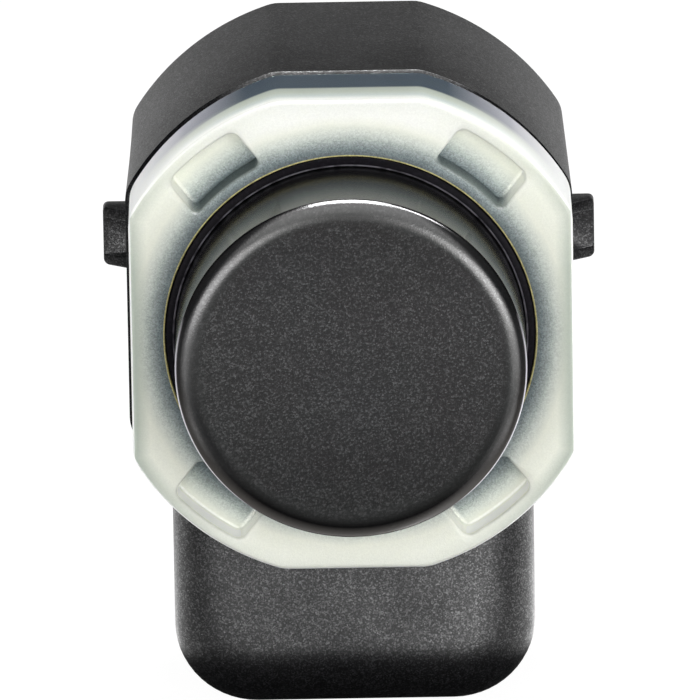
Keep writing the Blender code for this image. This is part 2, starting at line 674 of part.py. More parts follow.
def make_potting(frame):
    """Resin behind the board, with a pocket round each part that stands in it."""
    fit = BODY_WALL - RIM_MARGIN + CLEARANCE
    front, back = BOARD_BACK + BOND_GAP, COVER_LEDGE - BOND_GAP
    mesh = loft("potting", [(front, body_outline(fit)), (back, body_outline(fit))])
    potting = place("potting", mesh, frame, "potting_resin")
    start = front - CUT_OVERRUN
    tools = []
    for name, (across, thick, up), (x, z), _ in BACK_PARTS:
        half_width, half_height = across / 2 + POTTING_GAP, up / 2 + POTTING_GAP
        end = front + thick + POTTING_GAP
        pocket = block(f"{name}_pocket", (-half_width, start, -half_height), (half_width, end, half_height))
        tools.append(place(f"{name}_pocket", pocket, frame, at=(x, 0, z)))
    core = rod("transformer_pocket", CORE_FLANGE_RADIUS + POTTING_GAP, start, CORE_BACK + POTTING_GAP)
    core_at = (TRANSFORMER_PLACE[0], 0, TRANSFORMER_PLACE[1])
    tools.append(place("transformer_pocket", core, frame, at=core_at))
    contact = rod("contact_pocket", CONTACT_RADIUS + POTTING_GAP, start, CONTACT_BACK + POTTING_GAP)
    for side in SIDES.values():
        tools.append(place("contact_pocket", contact, frame, at=(side * CONTACT_SPACING / 2, 0, 0)))
    half = PIN_WIDTH / 2 + POTTING_GAP
    channel = block(
        "pin_channel",
        (-half, start, -RING_HALF_HEIGHT),
        (half, PIN_RISE + half, PIN_BOARD_HEIGHT + half),
    )
    for x in PIN_PLACES:
        tools.append(place("pin_channel", channel, frame, at=(x, 0, 0)))
    combine(potting, "DIFFERENCE", tools)


def bent_bar(name, route, width):
    """A square bar along a route of (y, z) points with mitred bends."""
    route = [Vector(point) for point in route]
    ways = [(b - a).normalized() for a, b in zip(route, route[1:])]
    sides = [Vector((-way.y, way.x)) for way in ways]
    shifts = [sides[0]]
    for one, two in zip(sides, sides[1:]):
        shifts.append((one + two) / (1 + one.dot(two)))
    shifts.append(sides[-1])
    left = [point + shift * width / 2 for point, shift in zip(route, shifts)]
    right = [point - shift * width / 2 for point, shift in zip(route, shifts)]
    outline = left + right[::-1]
    bm = bmesh.new()
    near = [bm.verts.new((-width / 2, y, z)) for y, z in outline]
    far = [bm.verts.new((width / 2, y, z)) for y, z in outline]
    bm.faces.new(near)
    bm.faces.new(reversed(far))
    for i in range(len(outline)):
        j = (i + 1) % len(outline)
        bm.faces.new((near[i], far[i], far[j], near[j]))
    return finish_mesh(name, bm)


def make_pins(frame):
    route = [
        (MOUTH_FRONT + PIN_FREE_LENGTH, PIN_HEIGHT),
        (PIN_RISE, PIN_HEIGHT),
        (PIN_RISE, PIN_BOARD_HEIGHT),
        (BOARD_FRONT - PIN_TIP_PROUD, PIN_BOARD_HEIGHT),
    ]
    for number, x in enumerate(PIN_PLACES, 1):
        name = f"contact_pin_{number}"
        place(name, bent_bar(name, route, PIN_WIDTH), frame, "tinned_brass", at=(x, 0, 0))


def make_piezo(frame):
    mesh = rod("piezo_disc", PIEZO_RADIUS, CUP_INNER_FLOOR + BOND_GAP, PIEZO_BACK, ROUND_STEPS // 2)
    place("piezo_disc", mesh, frame, "piezo_ceramic")


def make_foam(frame):
    front = CUP_INNER_FLOOR + BOND_GAP
    back = front + FOAM_LENGTH
    outer = CUP_BORE - CLEARANCE
    step = PIEZO_RADIUS + CLEARANCE
    profile = [
        (0, PIEZO_BACK + BOND_GAP),
        (step, PIEZO_BACK + BOND_GAP),
        (step, front),
        (outer - CUP_INNER_RADIUS, front),
        (outer, front + CUP_INNER_RADIUS),
        (outer, back),
        (0, back),
    ]
    foam = place("damping_foam", turned("damping_foam", profile, ROUND_STEPS), frame, "grey_foam")
    hole_front = PIEZO_BACK - PIEZO_THICKNESS
    hole = rod("wire_hole", WIRE_HOLE_RADIUS, hole_front, back + CUT_OVERRUN, SMALL_ROUND_STEPS // 2)
    tools = [place("wire_hole", hole, frame, at=(side * WIRE_SPACING / 2, 0, 0)) for side in SIDES.values()]
    combine(foam, "DIFFERENCE", tools)


def make_carrier(frame):
    mesh = rod("contact_carrier", CUP_BORE - CLEARANCE, CARRIER_FRONT, CARRIER_BACK, ROUND_STEPS)
    carrier = place("contact_carrier", mesh, frame, "carrier_plastic")
    hole_front, hole_back = CARRIER_FRONT - CUT_OVERRUN, CARRIER_BACK + CUT_OVERRUN
    hole = rod("contact_hole", CONTACT_RADIUS + BOND_GAP, hole_front, hole_back)
    contact = rod("carrier_contact", CONTACT_RADIUS, CONTACT_FRONT, CONTACT_BACK)
    tools = []
    for name, side in SIDES.items():
        at = (side * CONTACT_SPACING / 2, 0, 0)
        tools.append(place("contact_hole", hole, frame, at=at))
        place(f"carrier_contact_{name}", contact.copy(), frame, "tinned_brass", at)
    combine(carrier, "DIFFERENCE", tools)


def make_wires(frame):
    """Two fine wires, straight back through the foam and then out to the contacts."""
    foam_back = CUP_INNER_FLOOR + BOND_GAP + FOAM_LENGTH
    start, end = PIEZO_BACK + BOND_GAP, CONTACT_FRONT - BOND_GAP
    inner, outer = WIRE_SPACING / 2, CONTACT_SPACING / 2
    for name, side in SIDES.items():
        route = [
            (side * inner, start),
            (side * inner, foam_back),
            (side * (inner + outer) / 2, (foam_back + end) / 2),
            (side * outer, end),
        ]
        curve = bpy.data.curves.new(f"lead_wire_{name}", "CURVE")
        curve.dimensions = "3D"
        curve.bevel_depth = WIRE_RADIUS
        curve.bevel_resolution = 2
        curve.use_fill_caps = True
        spline = curve.splines.new("POLY")
        spline.points.add(len(route) - 1)
        for point, (x, y) in zip(spline.points, route):
            point.co = (x, y, 0, 1)
        place(f"lead_wire_{name}", curve, frame, "copper_wire")


def main():
    clear_scene()
    make_materials()
    frame = make_frame()
    make_housing(frame)
    make_cover(frame)
    make_ring(frame)
    make_sleeve(frame)
    make_cup(frame)
    make_piezo(frame)
    make_foam(frame)
    make_carrier(frame)
    make_wires(frame)
    make_board(frame)
    for name, size, at, material in FRONT_PARTS:
        make_board_part(frame, name, size, at, material, BOARD_FRONT, -1)
    for name, size, at, material in BACK_PARTS:
        make_board_part(frame, name, size, at, material, BOARD_BACK, 1)
    make_transformer(frame)
    make_potting(frame)
    make_pins(frame)


main()
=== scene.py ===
import bpy
import bmesh
import json
import math
from mathutils import Matrix, Vector


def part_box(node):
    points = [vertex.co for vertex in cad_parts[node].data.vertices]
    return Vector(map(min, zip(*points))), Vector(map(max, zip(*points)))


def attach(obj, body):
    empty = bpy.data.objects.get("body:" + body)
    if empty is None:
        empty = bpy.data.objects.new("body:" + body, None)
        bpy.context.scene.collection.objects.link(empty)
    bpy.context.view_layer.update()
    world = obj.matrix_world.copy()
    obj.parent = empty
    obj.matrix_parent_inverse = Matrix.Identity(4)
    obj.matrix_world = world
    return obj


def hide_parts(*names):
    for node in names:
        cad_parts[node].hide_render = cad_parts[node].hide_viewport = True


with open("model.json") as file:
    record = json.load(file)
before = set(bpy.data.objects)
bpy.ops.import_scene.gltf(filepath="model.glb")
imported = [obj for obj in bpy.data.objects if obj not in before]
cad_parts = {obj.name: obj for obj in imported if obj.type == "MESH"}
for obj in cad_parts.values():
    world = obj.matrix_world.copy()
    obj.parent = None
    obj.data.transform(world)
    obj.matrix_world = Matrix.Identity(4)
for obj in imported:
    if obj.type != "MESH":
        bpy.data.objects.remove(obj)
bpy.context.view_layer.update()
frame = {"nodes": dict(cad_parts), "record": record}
mm = 0.001

# The cup's axis runs along y; places below are (across, back from the ring's face, up from the axis)
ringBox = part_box("decoupling_ring")
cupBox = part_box("membrane_cup")
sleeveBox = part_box("cup_sleeve")
faceY = ringBox[0].y
axisZ = (cupBox[0].z + cupBox[1].z) / 2
axisPlace = Vector((0, faceY, axisZ))


# Helpers for nodes and colours

def toLinear(hexColour):
    values = [int(hexColour[i:i + 2], 16) / 255 for i in (1, 3, 5)]
    return [v / 12.92 if v <= 0.04045 else ((v + 0.055) / 1.055) ** 2.4 for v in values] + [1]


def setInputs(tree, node, inputs):
    for name, value in inputs.items():
        if isinstance(value, bpy.types.NodeSocket):
            tree.links.new(value, node.inputs[name])
        else:
            node.inputs[name].default_value = value


def addNode(tree, kind, inputs=None, stops=None, **settings):
    # A colour ramp's stops are (place, hex colour or grey level)
    node = tree.nodes.new(kind)
    for name, value in settings.items():
        setattr(node, name, value)
    setInputs(tree, node, inputs or {})
    if stops:
        elements = node.color_ramp.elements
        while len(elements) < len(stops):
            elements.new(1)
        for element, (place, value) in zip(elements, stops):
            element.position = place
            element.color = toLinear(value) if isinstance(value, str) else (value, value, value, 1)
    return node


def newMaterial(name):
    material = bpy.data.materials.new(name)
    material.use_nodes = True
    tree = material.node_tree
    shader = tree.nodes["Principled BSDF"]
    return material, tree, shader


# Helpers for meshes

def addObject(name, data):
    holder = bpy.data.objects.new(name, data)
    bpy.context.scene.collection.objects.link(holder)
    return holder


def pieceFromMesh(name, mesh, material, replaced, smoothAngle):
    mesh.shade_smooth()
    mesh.set_sharp_from_angle(angle=math.radians(smoothAngle))
    mesh.materials.clear()
    mesh.materials.append(material)
    piece = addObject(name, mesh)
    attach(piece, "root")
    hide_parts(replaced)
    return piece


def meshFromLoops(name, loops, closed=False, place=axisPlace):
    # Skins loops that all have as many points; the ends are filled unless the loops close on themselves
    bm = bmesh.new()
    rows = [[bm.verts.new(Vector(p) + place) for p in loop] for loop in loops]
    pairs = list(zip(rows, rows[1:])) + ([(rows[-1], rows[0])] if closed else [])
    for near, far in pairs:
        for i in range(len(near)):
            j = (i + 1) % len(near)
            bm.faces.new((near[i], near[j], far[j], far[i]))
    if not closed:
        bm.faces.new(rows[0])
        bm.faces.new(reversed(rows[-1]))
    bmesh.ops.recalc_face_normals(bm, faces=bm.faces)
    mesh = bpy.data.meshes.new(name)
    bm.to_mesh(mesh)
    bm.free()
    return mesh


def circleLoop(radius, y, steps, start=0):
    angles = [start + 2 * math.pi * i / steps for i in range(steps)]
    return [(radius * math.cos(a) * mm, y * mm, radius * math.sin(a) * mm) for a in angles]


def bend(centre, radius, start, end, steps):
    # Points (radius, y) of a rounded edge between two angles in degrees
    angles = [math.radians(start + (end - start) * i / steps) for i in range(steps + 1)]
    return [(centre[0] + radius * math.cos(a), centre[1] + radius * math.sin(a)) for a in angles]


def bakedCopy(piece, name):
    # The evaluated object as a plain mesh, with the modifiers' work in it
    graph = bpy.context.evaluated_depsgraph_get()
    mesh = bpy.data.meshes.new_from_object(piece.evaluated_get(graph), depsgraph=graph)
    mesh.name = name
    return mesh


def blank(name, loops, closed=False):
    # A shape to cut, to join or to cut with, modelled about the origin
    return addObject(name, meshFromLoops(name, loops, closed=closed, place=Vector()))


# Camera: at the photograph's angle, 0.6 m away, tilted a little to one side
camera = {
    "target": (-0.0315 * mm, 0, -0.6753 * mm),  # from the axis at the ring's face
    "distance": 600 * mm,
    "elevation": 16.446,
    "roll": -0.95,
    "lens": 695.98,
    "sensor": 36,
    "clip": (0.01, 20),
}


def makeCamera():
    e, roll = math.radians(camera["elevation"]), math.radians(camera["roll"])
    ahead = Vector((0, math.cos(e), -math.sin(e)))
    levelUp = Vector((0, math.sin(e), math.cos(e)))
    right = math.cos(roll) * Vector((1, 0, 0)) + math.sin(roll) * levelUp
    up = math.cos(roll) * levelUp - math.sin(roll) * Vector((1, 0, 0))
    data = bpy.data.cameras.new("camera")
    data.lens = camera["lens"]
    data.sensor_width = camera["sensor"]
    data.clip_start, data.clip_end = camera["clip"]
    holder = addObject("camera", data)
    turn = Matrix((right, up, -ahead)).transposed().to_4x4()
    target = axisPlace + Vector(camera["target"])
    holder.matrix_world = Matrix.Translation(target - ahead * camera["distance"]) @ turn
    bpy.context.scene.camera = holder


makeCamera()
bpy.context.scene.view_settings.view_transform = "Standard"
print("camera placed")

# Studio: lamps as (name, place, size, watts, whether it lights, whether it shines back), and the white room.
# Cards are rings of pale boards round the sensor that only gloss shows, as (way round, level); 0.5 is
# straight ahead of the cup.
studio = {
    "lamps": [
        ("top box", (0, 0.07, 0.27), (0.07, 0.05), 0.36, True, False),
        ("top strip", (0, -0.012, 0.26), (0.14, 0.205), 5.8, False, True),
        ("side strip", (0.115, -0.03, 0.25), (0.07, 0.12), 1.7, False, True),
        ("front box", (0.04, -0.42, 0.09), (0.50, 0.17), 1.75, True, False),
        ("left box", (-0.30, -0.01, 0.06), (0.14, 0.10), 0.45, True, False),
        ("right box", (0.30, -0.01, 0.06), (0.14, 0.10), 0.60, True, False),
    ],
    "roomFront": 0.40,
    "roomBack": 0.16,
    "roomTurn": (-1, 0.4),
    # What gloss shows of the room by height, before and behind, weaker towards the sides
    "frontGloss": [(0, 1.8), (0.09, 2.2), (0.17, 4.5), (0.34, 6.5), (0.64, 8.2), (1, 6.0)],
    "backGloss": [(0, 0.48), (0.14, 0.36), (0.28, 0.05), (0.6, 0.02), (1, 0.3)],
    "glossPeak": 12.0,
    "glossTurn": (-0.25, 0.06),
    "sidePeak": 0.5,
    "sideFade": (0.42, 0.56),
    # The floor: its gloss by distance, up to nearReach metres, times the cards that stand on it
    "floorSize": 6,
    "floorColour": "#606060",
    "floorLift": 0.95,
    "nearReach": 0.125,
    "floorNear": [
        (0.080, 0), (0.098, 1), (0.19, 1), (0.27, 0.88), (0.36, 0.88), (0.464, 0.34), (0.54, 0.38),
        (0.64, 0.80), (0.84, 0.66), (1, 0.8)],
    "nearCards": [
        (0, 0.03), (0.08, 0.07), (0.20, 0.24), (0.26, 0.19), (0.30, 0.10), (0.36, 0.05), (0.42, 0.11),
        (0.47, 0.17), (0.52, 0.18), (0.54, 0.27), (0.565, 0.42), (0.59, 0.23), (0.64, 0.06), (0.70, 0.18),
        (0.76, 0.30), (0.83, 0.30), (0.92, 0.07), (1, 0.03)],
    "farCards": [
        (0, 0.05), (0.08, 0.08), (0.20, 0.18), (0.28, 0.06), (0.34, 0.02), (0.38, 0.26), (0.41, 0.72),
        (0.435, 0.35), (0.46, 0.15), (0.54, 0.15), (0.56, 0.8), (0.595, 0.95), (0.625, 0.05), (0.66, 0.02),
        (0.72, 0.06), (0.80, 0.20), (0.92, 0.08), (1, 0.05)],
    "cardChange": (0.034, 0.048),
    # The cards along the horizon show above the floor up to a height, and on it from a distance
    "horizonCards": [
        (0.395, 0), (0.42, 0.6), (0.44, 0.75), (0.462, 0.9), (0.478, 0.35), (0.49, 0.05), (0.51, 0.05),
        (0.522, 0.35), (0.539, 1), (0.575, 0.95), (0.595, 0.2), (0.61, 0)],
    "horizonPeak": 20.0,
    "horizonHeight": (0.14, 0.05),
    "horizonStart": (0.145, 0.18),
}


def addLamp(name, place, size, watts, lights, shines):
    data = bpy.data.lights.new(name, "AREA")
    data.shape = "RECTANGLE"
    data.size, data.size_y = size
    data.energy = watts
    lamp = addObject(name, data)
    lamp.location = place
    lamp.visible_diffuse, lamp.visible_glossy = lights, shines
    aim = Vector((0, 0, axisZ)) - Vector(place)
    lamp.rotation_euler = aim.to_track_quat("-Z", "Y").to_euler()


def cardsRound(tree, x, y, *names):
    # The levels of rings of cards at the way from the middle to (x, y)
    ahead = addNode(tree, "ShaderNodeMath", {0: y, 1: -1}, operation="MULTIPLY").outputs[0]
    angle = addNode(tree, "ShaderNodeMath", {0: x, 1: ahead}, operation="ARCTAN2").outputs[0]
    turned = addNode(tree, "ShaderNodeMapRange", {
        "Value": angle, "From Min": -math.pi, "From Max": math.pi}).outputs[0]
    return [addNode(tree, "ShaderNodeValToRGB", {
        "Fac": turned}, stops=studio[name]).outputs[0] for name in names]


def raysOf(tree):
    # Whether gloss shows the surface, and whether the camera does, straight or through clear plastic
    path = addNode(tree, "ShaderNodeLightPath").outputs
    seen = addNode(tree, "ShaderNodeMath", {
        0: path["Is Camera Ray"], 1: path["Is Transmission Ray"]}, operation="MAXIMUM").outputs[0]
    return path["Is Glossy Ray"], seen


def makeRoom():
    # The camera and what it sees through clear plastic meet plain white;
    # what gloss shows is darkest above and behind
    world = bpy.data.worlds.new("white room")
    world.use_nodes = True
    bpy.context.scene.world = world
    tree = world.node_tree
    inGloss, seen = raysOf(tree)
    way = addNode(tree, "ShaderNodeTexCoord").outputs["Generated"]
    side, back, up = addNode(tree, "ShaderNodeSeparateXYZ", {"Vector": way}).outputs
    start, end = studio["roomTurn"]
    soft = addNode(tree, "ShaderNodeMapRange", {
        "Value": back, "From Min": start, "From Max": end,
        "To Min": studio["roomFront"], "To Max": studio["roomBack"]}).outputs[0]
    frontGloss, backGloss = (
        addNode(tree, "ShaderNodeValToRGB", {"Fac": up}, stops=[
            (at, level / studio["glossPeak"]) for at, level in studio[name]]).outputs[0]
        for name in ("frontGloss", "backGloss"))
    start, end = studio["glossTurn"]
    turned = addNode(tree, "ShaderNodeMapRange", {
        "Value": back, "From Min": start, "From Max": end}).outputs[0]
    shone = addNode(tree, "ShaderNodeMix", {"Factor": turned, "A": frontGloss, "B": backGloss}).outputs[0]
    sideways = addNode(tree, "ShaderNodeMath", {0: side}, operation="ABSOLUTE").outputs[0]
    start, end = studio["sideFade"]
    peak = addNode(tree, "ShaderNodeMapRange", {
        "Value": sideways, "From Min": start, "From Max": end,
        "To Min": studio["glossPeak"], "To Max": studio["sidePeak"]}).outputs[0]
    shine = addNode(tree, "ShaderNodeMath", {0: shone, 1: peak}, operation="MULTIPLY").outputs[0]
    start, end = studio["horizonHeight"]
    low = addNode(tree, "ShaderNodeMapRange", {
        "Value": up, "From Min": start, "From Max": end, "To Max": studio["horizonPeak"]}).outputs[0]
    cards, = cardsRound(tree, side, back, "horizonCards")
    horizon = addNode(tree, "ShaderNodeMath", {0: cards, 1: low}, operation="MULTIPLY").outputs[0]
    gloss = addNode(tree, "ShaderNodeMath", {0: shine, 1: horizon}, operation="ADD").outputs[0]
    lit = addNode(tree, "ShaderNodeMix", {"Factor": inGloss, "A": soft, "B": gloss}).outputs[0]
    level = addNode(tree, "ShaderNodeMix", {"Factor": seen, "A": lit, "B": 1.0}).outputs[0]
    setInputs(tree, tree.nodes["Background"], {"Color": (1, 1, 1, 1), "Strength": level})


def makeFloor():
    # A grey card that the camera sees as white paper; the part's shadow stays on it
    half = studio["floorSize"] / 2
    mesh = bpy.data.meshes.new("floor")
    corners = [(-half, -half, 0), (half, -half, 0), (half, half, 0), (-half, half, 0)]
    mesh.from_pydata(corners, [], [(0, 1, 2, 3)])
    floor = addObject("floor", mesh)
    material, tree, shader = newMaterial("pale floor")
    inGloss, seen = raysOf(tree)
    place = addNode(tree, "ShaderNodeTexCoord").outputs["Object"]
    away = addNode(tree, "ShaderNodeVectorMath", {0: place}, operation="LENGTH").outputs["Value"]
    nearness = addNode(tree, "ShaderNodeMath", {
        0: away, 1: studio["nearReach"]}, operation="DIVIDE").outputs[0]
    near = addNode(tree, "ShaderNodeValToRGB", {"Fac": nearness}, stops=studio["floorNear"]).outputs[0]
    x, y, _ = addNode(tree, "ShaderNodeSeparateXYZ", {"Vector": place}).outputs
    nearCards, farCards, horizonCards = cardsRound(tree, x, y, "nearCards", "farCards", "horizonCards")
    start, end = studio["cardChange"]
    beyond = addNode(tree, "ShaderNodeMapRange", {
        "Value": away, "From Min": start, "From Max": end}).outputs[0]
    cards = addNode(tree, "ShaderNodeMix", {"Factor": beyond, "A": nearCards, "B": farCards}).outputs[0]
    sheen = addNode(tree, "ShaderNodeMath", {0: near, 1: cards}, operation="MULTIPLY").outputs[0]
    start, end = studio["horizonStart"]
    outermost = addNode(tree, "ShaderNodeMapRange", {
        "Value": away, "From Min": start, "From Max": end, "To Max": studio["horizonPeak"]}).outputs[0]
    horizon = addNode(tree, "ShaderNodeMath", {
        0: horizonCards, 1: outermost}, operation="MULTIPLY").outputs[0]
    sweep = addNode(tree, "ShaderNodeMath", {
        0: sheen, 1: studio["glossPeak"], 2: horizon}, operation="MULTIPLY_ADD").outputs[0]
    swept = addNode(tree, "ShaderNodeMath", {0: sweep, 1: inGloss}, operation="MULTIPLY").outputs[0]
    white = addNode(tree, "ShaderNodeMath", {
        0: seen, 1: studio["floorLift"]}, operation="MULTIPLY").outputs[0]
    lift = addNode(tree, "ShaderNodeMath", {0: white, 1: swept}, operation="ADD").outputs[0]
    setInputs(tree, shader, {
        "Base Color": toLinear(studio["floorColour"]), "Roughness": 1, "Specular IOR Level": 0,
        "Emission Color": (1, 1, 1, 1), "Emission Strength": lift})
    mesh.materials.append(material)


for lamp in studio["lamps"]:
    addLamp(*lamp)
makeRoom()
makeFloor()
print("studio lit")

# Housing: the body behind the ring, its neck, the socket box and shroud, and a lug on each side.
# Depths run back from the ring's face, heights up from the axis, all in millimetres.
housing = {
    "body": {
        "round": 11.36, "halfWidth": 9.96, "halfHeight": 10.88, "corner": 1.6, "shift": 0.02, "lower": 0},
    "front": 4.6, "back": 16.85, "draft": 0.05, "sideDraft": 0.20, "backRound": 0.12, "steps": 360,
    "chamfer": (0.17, 0.09), "soften": (0.02, 0.005),  # across and back; its two edges are a little soft
    "cavityWall": 1.30, "cavityCorner": 0.4, "shelf": 0.8, "ledge": 0.45,
    "shelfDepth": 10.05, "ledgeDepth": 15.65,
    "neck": (8.31, 9.26, 2.1),  # inner and outer radius, and where its front lies
    "shoulder": (6.0, 6.8, 7.7),  # radius of the hole, and the depths of its two faces
    "boreSteps": 180,
    "box": {
        "halfWidth": 8.13, "bottom": -19.2, "top": -6.93, "corner": 3.7, "topCorner": 1.2, "front": 5.3,
        "fillet": (3.1, 2.0), "filletSteps": 20},
    "shroud": {"top": -10.48, "back": 24.85, "edge": 0.15},
    "mouth": {
        "halfWidth": 6.53, "floor": -17.8, "roof": -11.88, "corner": 2.2, "topCorner": 0.6, "front": 15.45,
        "flare": 0.12, "flareDepth": 0.25},
    "well": {"halfWidth": 5.4, "front": 7.2, "back": 13.45, "floor": -17.6, "top": -8.2},
    "window": {"halfWidth": 2.0, "front": 20.85, "back": 22.85},
    "pins": {"places": (-2.54, 0, 2.54), "half": 0.42, "height": -14.84},
    "lug": {
        "standOut": 1.18, "bottom": -0.875, "top": 1.855, "back": 16.0, "rootDepth": 2.2, "tipDepth": 0.9,
        "rib": 0.52, "cornerRound": 0.25, "edgeRound": 0.07, "sink": 0.6},
    "overcut": 0.5,  # how far a cutter stands out of what it cuts
}


# Finishes

def grainOf(tree, size, melt, rarity=3.0):
    # Random light grains over a dark ground: each cell of the pattern has a tone of its own, melted into
    # the next. The real grain is finer than the render shows, so this is as coarse as it needs to be.
    coords = addNode(tree, "ShaderNodeTexCoord").outputs["Object"]
    cells = addNode(tree, "ShaderNodeTexVoronoi", {
        "Vector": coords, "Scale": 1 / (size * mm), "Smoothness": melt}, feature="SMOOTH_F1")
    pick = addNode(tree, "ShaderNodeSeparateColor", {"Color": cells.outputs["Color"]}).outputs[0]
    rare = addNode(tree, "ShaderNodeMath", {0: pick, 1: rarity}, operation="POWER").outputs[0]
    return coords, rare, cells.outputs["Distance"]


def placeOf(tree, coords):
    # Millimetres from the axis at the ring's face; the same without the depth; and the distance from the axis
    place = addNode(tree, "ShaderNodeMapping", {
        "Vector": coords, "Location": -axisPlace / mm, "Scale": (1 / mm, 1 / mm, 1 / mm)}).outputs[0]
    flat = addNode(tree, "ShaderNodeMapping", {"Vector": place, "Scale": (1, 0, 1)}).outputs[0]
    radius = addNode(tree, "ShaderNodeVectorMath", {0: flat}, operation="LENGTH").outputs["Value"]
    return place, flat, radius


# Places in millimetres from the axis, above it, or behind the ring's face; pairs run from ground to grain
cupPaint = {
    "base": "#0e0e0f", "grain": 0.065, "melt": 0.4, "relief": 0.004,
    "tones": (0.5, 3.0), "shine": (0.20, 0.68), "roughness": (0.27, 0.20),
    # Over the rounded edge the grain, the relief and the roughness fall to these
    "pull": (6.5, 7.0), "pulled": 0.75, "pulledGrain": 0.25, "pulledRelief": 0.25, "pulledRoughness": 0.6,
    # The band is painted shade and the edge colour a painted reflection, both on the lower half only
    "lowerHalf": (1.0, -6.0), "band": (6.55, 7.20, 7.75), "bandKeep": 0.10, "edge": "#433f3b",
    # The line is a painted highlight round the rim
    "line": "#c4c1ca", "lineRadius": (7.67, 7.71), "lineDepth": -5.14,
    "lineTop": (2.5, 0), "lineBottom": (-6.6, -5.4),
    "fade": (2.0, 6.0), "faceFade": 0.24,
    # The wall's shine by depth is a painted shade towards its base
    "wallShine": (2.1, 0.26), "wallDepth": (-5.1, -1.2), "wallSide": 0.7, "wallTop": (5.0, 7.4),
}


